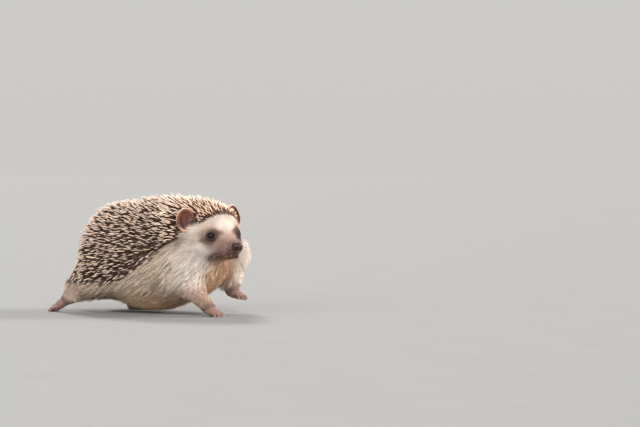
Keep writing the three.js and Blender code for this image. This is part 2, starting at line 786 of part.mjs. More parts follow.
const HIND_LEGS = {
  right: {
    points: [[-44, -22, 38], [-59, -27, 28], [-68, -29, 20], [-77, -30, 12.5]],
    radii: [17, 14, 9.5, 4.6],
    ankle: [-76.5, -30, 11.6],
    heading: 184,
    dip: 26,
    locks: [[0.4, -35], [0.44, 15], [0.42, 70], [0.52, 110], [0.56, 45], [0.56, -10]],
  },
  left: {
    points: [[-42, 20, 36], [-28, 29, 22], [-34, 31, 13], [-42, 31, 5.2]],
    radii: [17, 12, 8, 4.6],
    ankle: [-42, 31, 4.1],
    heading: 4,
    dip: 0,
    locks: [[0.6, 200], [0.64, 150]],
  },
};

const LEGS = [...Object.values(FORE_LEGS), ...Object.values(HIND_LEGS)];
const TAIL = { points: [[-60, 1, 28], [-72, 2, 24], [-80, 3, 19]], radii: [4, 3, 1.6] };

/** A foot's own frame: origin at the wrist or ankle, +x along the toes, dipped to the floor. */
function footPlace(at, heading, dip) {
  return new THREE.Matrix4().makeTranslation(...at)
    .multiply(new THREE.Matrix4().makeRotationZ(degrees(heading)))
    .multiply(new THREE.Matrix4().makeRotationY(degrees(dip)));
}

const CLAW = { length: 4, width: 0.95, thickness: 0.95, drop: -1.5 };
const TOE_START = 3.5; // the toes' bases lie this far back inside the sole
const TOE_DROP = 1.9; // from the knuckles' height to the toe tips' middles
const SIDE_TOES_SHORTER = 0.28;
const TOES_SPREAD = 0.86; // of the sole's half width

/** Palm or sole, toes in a fan, and a claw on each, all in one piece. */
function foot({ at, heading, dip, sole, soleRadii, toes, toeLength, toeRadius, fan, knuckle }) {
  const frame = footPlace(at, heading, dip);
  const place = (xyz) => vec(xyz).applyMatrix4(frame).toArray();
  const turned = (xyz) => vec(xyz).transformDirection(frame);
  const pieces = [limb(sole.map(place), soleRadii, 8, 4)];
  const [baseX, , baseZ] = sole[sole.length - 1];
  for (let i = 0; i < toes; i += 1) {
    const spot = (2 * i) / (toes - 1) - 1;
    const angle = degrees(fan * spot);
    const reach = 2 + toeLength * (1 - SIDE_TOES_SHORTER * spot * spot);
    const out = [Math.cos(angle), Math.sin(angle)];
    const baseY = spot * soleRadii[soleRadii.length - 1] * TOES_SPREAD;
    const along = (distance, z) => place([
      baseX - TOE_START + distance * out[0],
      baseY + distance * out[1],
      baseZ + z,
    ]);
    const tip = along(reach, knuckle - TOE_DROP);
    pieces.push(limb(
      [along(-1, 0), along(reach * 0.55, knuckle), tip],
      [toeRadius * 0.6, toeRadius, toeRadius * 0.95],
      5,
      3,
    ));
    pieces.push(bentCone({
      ...CLAW,
      root: vec(along(reach - 1.6, knuckle - 1.4)),
      way: turned([out[0], out[1], -0.12]),
      across: turned([-out[1], out[0], 0]),
      curl: turned([0, 0, 1]).multiplyScalar(CLAW.drop / CLAW.length),
      sides: 3,
      profile: [[0, 1], [0.5, 0.8], [1, 0]],
    }));
  }
  return joined(pieces);
}

const FORE_PAW = {
  sole: [[-1, 0, 0], [4, 0, -0.6], [9.5, 0, -1.4]],
  soleRadii: [4.3, 4.5, 4.4],
  toes: 5,
  toeLength: 8.2,
  toeRadius: 1.4,
  fan: 27,
  knuckle: 0.4,
};

const HIND_FOOT = {
  sole: [[-2, 0, 0], [8, 0, -0.6], [17, 0, -1.4]],
  soleRadii: [4.4, 3.9, 4.2],
  toes: 4,
  toeLength: 8.4,
  toeRadius: 1.55,
  fan: 18,
  knuckle: 0.4,
};

const floor = box([-FAR, -FAR, -FAR], [FAR, FAR, 0]);

function leg({ points, radii }, grow) {
  return limb(points, radii, 12, 10, grow);
}

function tail(grow) {
  return limb(TAIL.points, TAIL.radii, 10, 8, grow);
}

// ---------------------------------------------------------------- assembly

const parts = {};
const eachSide = (make) => Object.entries(SIDES).map(([name, side]) => make(side, name));

const spines = backSpines();
const crownForms = crownSpines();
const ruff = cheekLocks();
const feelers = eachSide(whiskers).flat();
const fur = undersideLocks();
const legCoats = new Map(LEGS.map((limbSizes) => [limbSizes, legLocks(limbSizes)]));

const mantleClear = torsoClear.intersect(mantleRegion(0));
const crownClear = headClear.intersect(crownRegion(GAP));
const neckClear = torsoClear.intersect(neckRegion(-1));
const earsClear = joined(eachSide((side) => earShell(side, GAP))).subtract(headClear);
const legsClear = joined(LEGS.flatMap((limbSizes) => (
  [leg(limbSizes, GAP), ...solidsOf(legCoats.get(limbSizes), GAP)]
))).subtract(torsoClear);
const tailClear = tail(GAP).subtract(torsoClear);
const edgeSpines = [...spines.back, ...spines.rump].filter(({ root }) => (
  root.z < mantleEdge(root.x) + SPINE.length / 2
));

const eyes = eachSide((side, name) => ({ name, ...eye(side) }));
eyes.forEach(({ name, ball }) => {
  parts[`eye_${name}`] = ball;
});
parts.nose = largest(nose(0).subtract(nostrils()));

const lips = [LIP_LIFT, -LIP_LIFT].map((lift) => tube(mouthLine(lift, -0.4), LIP_WIDTH / 2, 4, 9));
const mouth = tube(mouthLine(0, 0.1), MOUTH_WIDTH / 2, 4, 9);
const face = [headWhole, ...eyes.map(({ lids }) => lids), ...lips];
parts.head = largest(
  joined([...face, ...solidsOf([...ruff, ...feelers])])
    .subtract(joined([...eyes.map(({ socket }) => socket), mouth, nose(GAP)]))
    .subtract(joined([neckClear, earsClear, crownClear])),
);
parts.crown = largest(
  joined([crownWhole.intersect(crownRegion(0)), ...solidsOf(crownForms)])
    .intersect(neckRegion(1))
    .subtract(earsClear),
);
eachSide((side, name) => {
  parts[`ear_${name}`] = largest(ear(side).subtract(headClear));
});

parts.back = largest(
  joined([mantle, ...solidsOf(spines.back)])
    .intersect(neckRegion(-1))
    .subtract(joined([rumpRegion(GAP), earsClear])),
);
parts.rump = largest(
  joined([mantle, ...solidsOf(spines.rump)])
    .intersect(rumpRegion(0))
    .subtract(joined([legsClear, tailClear])),
);
parts.underside = largest(
  joined([torso.subtract(mantleRegion(0)), ...solidsOf(fur)])
    .subtract(joined([mantleClear, legsClear, tailClear]))
    .subtract(joined([...solidsOf(edgeSpines, GAP), ...solidsOf(ruff, GAP)]))
    .subtract(floor),
);

/** A leg with its locks, and the foot that meets its end. */
function legParts(limbSizes, footSizes) {
  const shank = joined([leg(limbSizes, 0), ...solidsOf(legCoats.get(limbSizes))]);
  return {
    leg: largest(shank.subtract(torsoClear).subtract(floor)),
    foot: largest(foot(footSizes).subtract(leg(limbSizes, GAP)).subtract(floor)),
  };
}

eachSide((side, name) => {
  const fore = FORE_LEGS[name];
  const foreParts = legParts(fore, { ...FORE_PAW, ...fore, at: fore.wrist });
  parts[`fore_leg_${name}`] = foreParts.leg;
  parts[`fore_paw_${name}`] = foreParts.foot;
  const hind = HIND_LEGS[name];
  const hindParts = legParts(hind, { ...HIND_FOOT, ...hind, at: hind.ankle });
  parts[`hind_leg_${name}`] = hindParts.leg;
  parts[`hind_foot_${name}`] = hindParts.foot;
});

parts.tail = largest(tail(0).subtract(torsoClear));

// ---------------------------------------------------------------- the group

const LOOKS = {
  eye: { color: 0x0b0a10, roughness: 0.08 },
  nose: { color: 0x3a2c33, roughness: 0.4 },
  head: { color: 0xcdb7a6, roughness: 0.9 },
  crown: { color: 0xc9ad98, roughness: 0.55 },
  ear: { color: 0x9a6248, roughness: 0.7 },
  back: { color: 0xc9ad98, roughness: 0.55 },
  rump: { color: 0xc9ad98, roughness: 0.55 },
  underside: { color: 0xc0a07c, roughness: 0.95 },
  fore: { color: 0x8f7468, roughness: 0.85 },
  hind: { color: 0x9a8474, roughness: 0.85 },
  tail: { color: 0x9c8070, roughness: 0.85 },
};

const hedgehog = new THREE.Group();
for (const [name, solid] of Object.entries(parts)) {
  const look = LOOKS[name.split('_')[0]];
  const material = new THREE.MeshStandardMaterial({ ...look, metalness: 0 });
  const mesh = new THREE.Mesh(toGeometry(solid), material);
  mesh.name = name;
  hedgehog.add(mesh);
}

const bounds = new THREE.Box3().setFromObject(hedgehog);
const centre = bounds.getCenter(new THREE.Vector3());
hedgehog.position.set(-centre.x, -centre.y, -bounds.min.z);

export default hedgehog;
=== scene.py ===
"""A four-toed hedgehog on the move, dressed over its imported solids.

One seamless skin comes from the same signed-distance field as the solids. Spines, locks and
short fur are joined meshes of thin tapered strands that grow from it along the lie of the coat.
Lengths are millimetres in the solids' own frame until a mesh is made.
"""

import math
from functools import reduce

import bpy
import numpy as np
from mathutils import Matrix, Vector
from mathutils.kdtree import KDTree


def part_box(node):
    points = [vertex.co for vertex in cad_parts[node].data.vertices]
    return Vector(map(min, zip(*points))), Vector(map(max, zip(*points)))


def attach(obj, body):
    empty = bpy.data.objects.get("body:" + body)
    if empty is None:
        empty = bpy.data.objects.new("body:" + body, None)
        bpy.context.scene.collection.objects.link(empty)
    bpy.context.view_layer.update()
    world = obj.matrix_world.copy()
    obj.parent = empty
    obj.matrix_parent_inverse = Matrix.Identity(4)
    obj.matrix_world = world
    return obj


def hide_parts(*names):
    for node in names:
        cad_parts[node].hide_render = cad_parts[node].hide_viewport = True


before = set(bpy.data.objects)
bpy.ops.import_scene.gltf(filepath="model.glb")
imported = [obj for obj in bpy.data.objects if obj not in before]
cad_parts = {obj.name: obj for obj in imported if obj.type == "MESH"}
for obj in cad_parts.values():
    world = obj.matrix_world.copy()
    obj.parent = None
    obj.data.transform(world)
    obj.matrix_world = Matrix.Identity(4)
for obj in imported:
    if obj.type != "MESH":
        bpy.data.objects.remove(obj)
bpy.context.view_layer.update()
MM = 0.001
rng = np.random.default_rng(20)

# --- sizes shared with the solids

SIDES = {"right": -1, "left": 1}
EYES_AT = (81.9, -16, 74.3)
HEAD_YAW, HEAD_ROLL = -30, 4
EYE_HALF_SPACING, EYE_RADIUS, EYE_SHOWN = 13.6, 3.5, 1.9
EAR_SIZE, EAR_TURN, EAR_PROUD, EAR_TILT = 22, 50, 4.2, -12
NOSE_SIZE, NOSE_AT = 9.6, (19.8, 0, -10.4)
TORSO_CORE, FACE_CORE = 3.5, 0.8
TORSO_BLEND, HEAD_BLEND, NECK_BLEND = 14, 5, 12

TORSO_FLESH = [
    ([2, 0, 57], [55, 43, 42]),
    ([-36, 0, 56], [31, 32, 37]),
    ([2, 0, 39], [46, 33, 31]),
    ([26, 0, 61], [34, 35, 37]),
    ([45, -3, 78], [24, 19, 20]),
    ([44, -3, 49], [30, 26, 25]),
    ([-44, -21, 37], [19, 14, 18]),
    ([-42, 21, 37], [19, 14, 18]),
    ([40, -23, 39], [17, 12, 17]),
    ([60, 24, 53], [18, 14, 21]),
]
HEAD_FLESH = [
    ([-23, 0, 4], [25, 23, 18.5]),
    ([-11, 0, 4], [15, 18, 15]),
    ([-13, -11, -9], [16, 11, 11]),
    ([-13, 11, -9], [16, 11, 11]),
    ([8, -4.6, -12.5], [9, 6, 5]),
    ([8, 4.6, -12.5], [9, 6, 5]),
]
MUZZLE = [([-4, 0, -6], [13.5, 0, -10], 13.2, 5.2), ([-8, 0, -14], [12, 0, -16.5], 8.5, 3.4)]
MOUTH_AIMS = [(-3, 14, -18.4), (4, 11.5, -20.2), (11, 7.5, -19.6), (16, 3.6, -17.6)]
MOUTH_FRONT = (18, 0, -16.8)

LEGS = {
    "fore_right": {
        "points": [[36, -22, 42], [50, -28, 29], [60, -27.5, 19], [71, -25.5, 8]],
        "radii": [13, 10.5, 7.6, 4.4],
        "foot": {"at": (70, -25.5, 6.5), "heading": -2, "dip": 14, "kind": "paw"},
    },
    "fore_left": {
        "points": [[52, 18, 50], [63, 22, 41], [69, 21.5, 30], [70, 20.5, 20.5]],
        "radii": [13, 11, 8, 4.4],
        "foot": {"at": (69.5, 20.5, 20), "heading": 0, "dip": 12, "kind": "paw"},
    },
    "hind_right": {
        "points": [[-44, -22, 38], [-59, -27, 28], [-68, -29, 20], [-77, -30, 12.5]],
        "radii": [17, 14, 9.5, 4.6],
        "foot": {"at": (-76.5, -30, 11.6), "heading": 184, "dip": 26, "kind": "sole"},
    },
    "hind_left": {
        "points": [[-42, 20, 36], [-28, 29, 22], [-34, 31, 13], [-42, 31, 5.2]],
        "radii": [17, 12, 8, 4.6],
        "foot": {"at": (-42, 31, 4.1), "heading": 4, "dip": 0, "kind": "sole"},
    },
}
FEET = {
    "paw": {
        "sole": [[-1, 0, 0], [4, 0, -0.6], [8.6, 0, -1.5]],
        "radii": [4.3, 4.3, 3.6],
        "toes": 5,
        "length": 9.1,
        "radius": 1.35,
        "fan": 27,
    },
    "sole": {
        "sole": [[-2, 0, 0], [8, 0, -0.6], [16, 0, -1.6]],
        "radii": [4.4, 3.9, 3.6],
        "toes": 4,
        "length": 9.4,
        "radius": 1.55,
        "fan": 18,
    },
}
KNUCKLE = 0.4
TAIL = {"points": [[-60, 1, 28], [-72, 2, 24], [-80, 3, 19]], "radii": [4, 3, 1.6]}

# --- small maths


def smooth(x, low, high):
    t = np.clip((x - low) / (high - low), 0, 1)
    return t * t * (3 - 2 * t)


def mix(a, b, t):
    return a + (b - a) * t


def unit(v):
    return v / np.maximum(np.linalg.norm(v, axis=-1, keepdims=True), 1e-9)


def ways(x, y, z):
    """Directions from three numbers or lists of them."""
    return np.stack(np.broadcast_arrays(x, y, z), 1)


def across_to(way, outward):
    """The part of each way that lies in the surface."""
    return unit(way - (way * outward).sum(-1, keepdims=True) * outward)


def apart(p, at):
    return np.linalg.norm(p - np.asarray(at), axis=1)


def placed(at=(0, 0, 0), turns=()):
    m = Matrix.Translation(at)
    for degrees, axis in turns:
        m = m @ Matrix.Rotation(math.radians(degrees), 4, axis)
    return np.array(m)


def moved(m, p):
    return np.asarray(p, float) @ m[:3, :3].T + m[:3, 3]


def turned(m, v):
    return np.asarray(v, float) @ m[:3, :3].T


HEAD = placed(EYES_AT, [(HEAD_YAW, "Z"), (HEAD_ROLL, "X")])
INTO_HEAD = np.linalg.inv(HEAD)
INTO_NECK = np.linalg.inv(HEAD @ placed((-28, 0, -1), [(-36.5, "Y")]))


def ahead_of_neck(p):
    return moved(INTO_NECK, p)[:, 0]


def mantle_edge(x):
    return 31 + 44 / (1 + np.exp((21 - x) / 12.5))


# --- the body's field


def lump(p, at, radii):
    radii = np.asarray(radii, p.dtype)
    q = (p - np.asarray(at, p.dtype)) / radii
    reach = np.sqrt((q * q).sum(1))
    slope = np.sqrt(((q / radii) ** 2).sum(1))
    return reach * (reach - 1) / np.maximum(slope, 1e-6)


def taper(p, a, b, start, end):
    a = np.asarray(a, p.dtype)
    along = np.asarray(b, p.dtype) - a
    off = p - a
    share = np.clip(off @ along / (along @ along), 0, 1)
    off = off - share[:, None] * along
    return np.sqrt((off * off).sum(1)) - mix(start, end, share)


def reach_of(q, at, radii):
    """0 in the middle of an ellipsoid and 1 on it."""
    return np.sqrt((((q - np.array(at)) / np.array(radii)) ** 2).sum(1))


def blend(a, b, width):
    overlap = np.maximum(width - np.abs(a - b), 0) / width
    return np.minimum(a, b) - overlap * overlap * width / 4


def blended(fields, width):
    """Fields joined one after another."""
    return reduce(lambda a, b: blend(a, b, width), fields)


def carve(a, b, width):
    return -blend(-a, b, width)


def chained(p, tapers, width):
    return blended((taper(p, *piece) for piece in tapers), width)


def core_depth(in_head):
    return mix(TORSO_CORE, FACE_CORE, smooth(in_head[:, 0], -38, -14))


def torso(p):
    return blended((lump(p, at, radii) for at, radii in TORSO_FLESH), TORSO_BLEND)


def skull(p):
    q = moved(INTO_HEAD, p).astype(p.dtype)
    lumps = (lump(q, at, radii) for at, radii in HEAD_FLESH)
    return blended((*lumps, *(taper(q, *piece) for piece in MUZZLE)), HEAD_BLEND)


def body(p):
    """Torso and head alone, at the skin."""
    return blend(torso(p), skull(p), NECK_BLEND)


def head_share(p):
    """1 on the head, falling to 0 where the torso takes over."""
    return smooth(torso(p) - skull(p), -3, 6)


def solid_body(p):
    return body(p) - core_depth(moved(INTO_HEAD, p))


def gradient(f, p, step=0.4):
    g = np.empty_like(p, dtype=float)
    for i in range(3):
        e = np.zeros(3, p.dtype)
        e[i] = step
        g[:, i] = f(p + e) - f(p - e)
    return unit(g)


def ray_out(f, start, aim, reach=50):
    """Where a ray in the head frame leaves a field."""
    a, b = moved(HEAD, [start])[0], moved(HEAD, [aim])[0]
    way = unit(b - a)
    at = lambda t: float(f((a + way * t)[None])[0])
    outer = 2
    while outer < reach and at(outer) < 0:
        outer += 2
    low, high = outer - 2, min(outer, reach)
    for _ in range(14):
        middle = (low + high) / 2
        if at(middle) > 0:
            high = middle
        else:
            low = middle
    return a + way * (low + high) / 2


def catmull(points, count):
    p = np.asarray(points, float)
    p = np.vstack([2 * p[0] - p[1], p, 2 * p[-1] - p[-2]])
    out = []
    for s in np.linspace(0, len(points) - 1, count):
        i = min(int(s), len(points) - 2)
        t = s - i
        a, b, c, d = p[i : i + 4]
        square, cube = (2 * a - 5 * b + 4 * c - d) * t * t, (3 * b - a - 3 * c + d) * t**3
        out.append(0.5 * (2 * b + (c - a) * t + square + cube))
    return np.array(out)


def limb_chain(limb, depth, count=9):
    """Tapers along a limb, thinner than the solid by a coat depth that fades to the foot."""
    middles = catmull(limb["points"], count)
    share = np.linspace(0, 1, count)
    radii = np.interp(share, np.linspace(0, 1, len(limb["radii"])), limb["radii"])
    radii = radii - depth * (1 - share)
    return [(middles[i], middles[i + 1], radii[i], radii[i + 1]) for i in range(count - 1)]


def joints(chain):
    return [piece[0] for piece in chain] + [chain[-1][1]]


LEG_DEPTH = 1.6
LIMB_CHAINS = {name: limb_chain(leg, LEG_DEPTH) for name, leg in LEGS.items()}
LIMB_CHAINS["tail"] = limb_chain(TAIL, 0.5, 6)

# --- eyes, ears, mouth and feet

EYES = {}
for name, side in SIDES.items():
    spot = ray_out(solid_body, (-5, 0, -1), (0, side * EYE_HALF_SPACING, 0))
    out = gradient(solid_body, spot[None])[0]
    EYES[name] = {"centre": spot + out * (EYE_SHOWN - EYE_RADIUS), "out": out}

low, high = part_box("eye_right")
SHIFT = np.array((low + high) / 2) / MM - EYES["right"]["centre"]

EARS = {}
for name, side in SIDES.items():
    root = moved(INTO_HEAD, [ray_out(solid_body, (-21, 0, 7), (-20.5, side * 26, 16.5))])[0]
    place = placed(
        (root[0], root[1] + side * EAR_PROUD, root[2]),
        [(side * EAR_TURN, "Z"), (EAR_TILT, "Y")],
    )
    EARS[name] = {
        "place": HEAD @ place,
        "into": np.linalg.inv(HEAD @ place),
        "root": moved(HEAD, [root])[0],
        "side": side,
    }

EAR_RADII = (5.2, 0.43 * EAR_SIZE, 0.5 * EAR_SIZE)
EAR_WALL = 1.2
EAR_OPENING = (0.6, 0.52)  # the cup ends at this height, and higher towards its outer edge


def ear_shell(p, ear):
    """Places in an ear's own frame, and their distance from its outer face."""
    q = moved(ear["into"], p).astype(p.dtype)
    return q, lump(q, (0, 0, 0), EAR_RADII)


def ear_field(p, ear):
    q, shell = ear_shell(p, ear)
    side = ear["side"]
    wall = np.abs(shell + EAR_WALL / 2) - EAR_WALL / 2
    rim = EAR_OPENING[0] + EAR_OPENING[1] * side * q[:, 1] - 0.04 * np.abs(q[:, 2])
    opened = carve(wall, rim - q[:, 0], 0.8)
    fold = taper(q, (-3.4, side * 2.6, -7.5), (-2.4, side * 5.2, 2.5), 1.5, 0.7)
    return blend(opened, fold, 2)


def ear_canal(p, ear):
    q = moved(ear["into"], p).astype(p.dtype)
    return lump(q, (-6.6, -ear["side"] * 1.4, -5.6), (3, 1.8, 2.4))


def mouth_points():
    right = [(x, -y, z) for x, y, z in MOUTH_AIMS]
    aims = [*right, MOUTH_FRONT, *MOUTH_AIMS[::-1]]
    spots = np.array([ray_out(body, (2, 0, -10), aim) for aim in aims])
    return catmull(spots, 25)


MOUTH = mouth_points()
UP = turned(HEAD, [(0, 0, 1)])[0]


def foot_pieces(leg):
    """Tapers of a foot's palm or sole, of its toes, and the claws' roots and ways."""
    foot = leg["foot"]
    kind = FEET[foot["kind"]]
    m = placed(foot["at"], [(foot["heading"], "Z"), (foot["dip"], "Y")])
    sole = moved(m, kind["sole"])
    palm = [(sole[i], sole[i + 1], kind["radii"][i], kind["radii"][i + 1]) for i in range(2)]
    toes, claws, pads = [], [], []
    base = kind["sole"][-1]
    radius = kind["radius"]
    for i in range(kind["toes"]):
        spot = 2 * i / (kind["toes"] - 1) - 1
        angle = math.radians(kind["fan"] * spot)
        reach = 2 + kind["length"] * (1 - 0.28 * spot * spot)
        out = (math.cos(angle), math.sin(angle))
        base_y = spot * kind["radii"][-1] * 0.86

        def along(d, z):
            local = [base[0] - 3.5 + d * out[0], base_y + d * out[1], base[2] + z]
            return moved(m, [local])[0]

        line = [
            (along(-1, 0), radius * 0.6),
            (along(reach * 0.5, KNUCKLE), radius * 0.98),
            (along(reach * 0.78, KNUCKLE - 0.5), radius * 0.86),
            (along(reach - radius * 0.9, KNUCKLE - 1.7), radius * 0.92),
        ]
        toes.append([(a, b, start, end) for (a, start), (b, end) in zip(line, line[1:])])
        pads.append((along(reach - radius, KNUCKLE - 2.1), radius * 0.85))
        claws.append(
            {
                "root": along(reach - 1.6, KNUCKLE - 1.4),
                "way": turned(m, [(out[0], out[1], -0.12)])[0],
                "across": turned(m, [(-out[1], out[0], 0)])[0],
                "up": turned(m, [(0, 0, 1)])[0],
            }
        )
    tapers = [*palm, *(piece for toe in toes for piece in toe)]
    return {"palm": palm, "toes": toes, "tapers": tapers, "claws": claws, "pads": pads}


FOOT_PIECES = {name: foot_pieces(leg) for name, leg in LEGS.items()}


def near(p, points, pad):
    points = np.asarray(points)
    low, high = points.min(0) - pad, points.max(0) + pad
    return np.flatnonzero(((p > low) & (p < high)).all(1))


LIMB_REACH, LEG_BLEND, TAIL_BLEND = 12, 9, 3


def with_limbs(p):
    """The body with its limbs, without its small features."""
    total = body(p)
    for name, chain in LIMB_CHAINS.items():
        i = near(p, joints(chain), LIMB_REACH + chain[0][2])
        if len(i):
            width = TAIL_BLEND if name == "tail" else LEG_BLEND
            total[i] = blend(total[i], chained(p[i], chain, 2), width)
    return total


LID_RADIUS, LID_OPENING = 4.35, (3.15, 2.75)
OPENING_SCALE = 2.8  # turns the reach in the lids' opening into millimetres
GROOVE = 0.42
LOW_LIP, HIGH_LIP = (1.1, 0.5), (1.2, 0.4)  # distance from the mouth's line, and radius
ABOVE_FLOOR = 0.02


def skin_field(p):
    """The whole skin: body, limbs, feet, ears, lids and lips."""
    total = with_limbs(p)
    for foot in FOOT_PIECES.values():
        ends = [t[k] for t in foot["tapers"] for k in (0, 1)]
        i = near(p, ends, 8)
        if not len(i):
            continue
        q = p[i]
        toes = np.min([chained(q, toe, 0.6) for toe in foot["toes"]], axis=0)
        pads = np.min([lump(q, spot, [radius] * 3) for spot, radius in foot["pads"]], axis=0)
        d = blend(chained(q, foot["palm"], 2), blend(toes, pads, 0.5), 1.1)
        total[i] = blend(total[i], d, 3)
    for ear in EARS.values():
        i = near(p, [ear["place"][:3, 3]], 16)
        if len(i):
            both = blend(total[i], ear_field(p[i], ear), 2.2)
            total[i] = carve(both, ear_canal(p[i], ear), 1.5)
    for eye in EYES.values():
        i = near(p, [eye["centre"]], 9)
        if not len(i):
            continue
        q = p[i] - eye["centre"].astype(p.dtype)
        ball = np.sqrt((q * q).sum(1))
        out = eye["out"]
        side = unit(np.cross(UP, out))
        up = np.cross(out, side)
        opening = np.sqrt((q @ side / LID_OPENING[0]) ** 2 + (q @ up / LID_OPENING[1]) ** 2) - 1
        opening = np.maximum(OPENING_SCALE * opening, -(q @ out))
        d = blend(total[i], ball - LID_RADIUS, 2.4)
        d = carve(d, ball - EYE_RADIUS - 0.06, 0.2)
        total[i] = carve(d, opening, 0.5)
    i = near(p, MOUTH, 5)
    if len(i):
        q = p[i]
        lines = list(zip(MOUTH, MOUTH[1:]))
        groove = np.min([taper(q, a, b, GROOVE, GROOVE) for a, b in lines], axis=0)
        lips = [
            taper(q, a + UP * up, b + UP * up, radius, radius)
            for a, b in lines
            for up, radius in ((-LOW_LIP[0], LOW_LIP[1]), HIGH_LIP)
        ]
        total[i] = carve(blend(total[i], np.min(lips, axis=0), 1.6), groove, 0.5)
    return np.maximum(total, ABOVE_FLOOR - p[:, 2])


# --- a mesh from a field

CORNERS = [(i, j, k) for i in (0, 1) for j in (0, 1) for k in (0, 1)]


def chunked(f, p, size=60000):
    return np.concatenate([f(p[i : i + size]) for i in range(0, len(p), size)])


def field_values(f, low, high, step, block=4):
    """The field on a grid, worked out in full only near the surface."""
    counts = [int(math.ceil((b - a) / (step * block))) for a, b in zip(low, high)]
    middles = [a + (np.arange(n) + 0.5) * step * block for a, n in zip(low, counts)]
    grid = np.stack(np.meshgrid(*middles, indexing="ij"), -1).reshape(-1, 3)
    coarse = chunked(f, grid.astype(np.float32)).reshape(counts)
    values = coarse.repeat(block, 0).repeat(block, 1).repeat(block, 2)
    close = np.argwhere(np.abs(coarse) < step * block * 1.5 + 0.5)
    offsets = np.stack(np.meshgrid(*[np.arange(block)] * 3, indexing="ij"), -1).reshape(-1, 3)
    cells = (close[:, None] * block + offsets[None]).reshape(-1, 3)
    spots = (np.asarray(low) + (cells + 0.5) * step).astype(np.float32)
    values[tuple(cells.T)] = chunked(f, spots)
    return values, np.asarray(low) + 0.5 * step


def surface_net(values, origin, step):
    """Quads on the zero level of a grid of values."""
    inside = values < 0
    shape = [n - 1 for n in values.shape]
    count = np.zeros(shape, np.int8)
    for i, j, k in CORNERS:
        count += inside[i : i + shape[0], j : j + shape[1], k : k + shape[2]]
    cells = np.argwhere((count > 0) & (count < 8))
    index = np.full(shape, -1, np.int32)
    index[tuple(cells.T)] = np.arange(len(cells))
    corner = {c: values[tuple((cells + c).T)] for c in CORNERS}
    total, crossings = np.zeros((len(cells), 3)), np.zeros(len(cells))
    for a in CORNERS:
        for axis in range(3):
            if a[axis]:
                continue
            b = tuple(1 if n == axis else c for n, c in enumerate(a))
            cut = (corner[a] < 0) != (corner[b] < 0)
            gap = corner[a][cut] - corner[b][cut]
            total[cut] += a
            total[cut, axis] += corner[a][cut] / gap
            crossings[cut] += 1
    points = origin + (cells + total / crossings[:, None]) * step
    faces = []
    for axis in range(3):
        one, two = [slice(1, -1)] * 3, [slice(1, -1)] * 3
        one[axis], two[axis] = slice(0, -1), slice(1, None)
        a, b = inside[tuple(one)], inside[tuple(two)]
        spots = np.argwhere(a != b)
        base = spots + 1
        base[:, axis] -= 1
        u, v = (axis + 1) % 3, (axis + 2) % 3
        ring = []
        for du, dv in ((0, 0), (-1, 0), (-1, -1), (0, -1)):
            cell = base.copy()
            cell[:, u] += du
            cell[:, v] += dv
            ring.append(index[tuple(cell.T)])
        quad = np.stack(ring, 1)
        outward = a[tuple(spots.T)]
        quad[~outward] = quad[~outward][:, ::-1]
        faces.append(quad)
    return points, np.concatenate(faces)


def onto(f, points, rounds, step=0.12, most=0.5):
    for _ in range(rounds):
        here = chunked(f, points)
        slope = np.empty_like(points)
        for i in range(3):
            e = np.zeros(3)
            e[i] = step
            slope[:, i] = (chunked(f, points + e) - here) / step
        size = np.maximum((slope * slope).sum(1), 0.25)
        shift = np.clip(-here / size, -most, most)
        points = points + slope * shift[:, None]
    return points


def relaxed(points, faces, amount=0.5):
    edges = np.concatenate([faces[:, [i, (i + 1) % 4]] for i in range(4)])
    total = 0
    for a, b in ((0, 1), (1, 0)):
        sums = [np.bincount(edges[:, a], points[edges[:, b], i], len(points)) for i in range(3)]
        total = total + np.stack(sums, 1)
    count = np.bincount(edges.ravel(), minlength=len(points))
    return mix(points, total / count[:, None], amount)


def meshed(f, low, high, step, rounds=2):
    values, origin = field_values(f, low, high, step)
    points, faces = surface_net(values, origin, step)
    points = onto(f, points, 2)
    for _ in range(rounds):
        points = onto(f, relaxed(points, faces), 1)
    return points, faces


# --- Blender objects


def linked(name, data):
    """An object of the scene for a mesh, light or camera."""
    new = bpy.data.objects.new(name, data)
    bpy.context.scene.collection.objects.link(new)
    return new


def made(name, points, faces, material, nodes=(), attributes=None, uv=None):
    """A mesh object in metres that rides on the root and stands for CAD nodes."""
    mesh = bpy.data.meshes.new(name)
    sides = faces.shape[1]
    mesh.vertices.add(len(points))
    where = (np.asarray(points) + SHIFT) * MM
    mesh.vertices.foreach_set("co", where.astype(np.float32).ravel())
    mesh.loops.add(faces.size)
    mesh.loops.foreach_set("vertex_index", faces.astype(np.int32).ravel())
    mesh.polygons.add(len(faces))
    mesh.polygons.foreach_set("loop_start", np.arange(0, faces.size, sides, dtype=np.int32))
    for key, value in (attributes or {}).items():
        if value.ndim == 1:
            layer = mesh.attributes.new(key, "FLOAT", "POINT")
            layer.data.foreach_set("value", value.astype(np.float32))
        else:
            layer = mesh.attributes.new(key, "FLOAT_COLOR", "POINT")
            rgba = np.concatenate([value, np.ones((len(value), 1))], 1)
            layer.data.foreach_set("color", rgba.astype(np.float32).ravel())
    if uv is not None:
        layer = mesh.uv_layers.new(name="OFBake")
        layer.uv.foreach_set("vector", uv[faces.ravel()].astype(np.float32).ravel())
    mesh.update()
    mesh.validate()
    mesh.shade_smooth()
    mesh.materials.append(MATERIALS[material])
    piece = linked(name, mesh)
    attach(piece, "root")
    if nodes:
        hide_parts(*nodes)


# --- where spines grow

HAIRLINE_AT, HAIRLINE_RADII = (-48, 0, 24), (48, 48, 33)
EAR_LINE = -24  # behind it, in the head frame, the spines come down to the mantle's edge


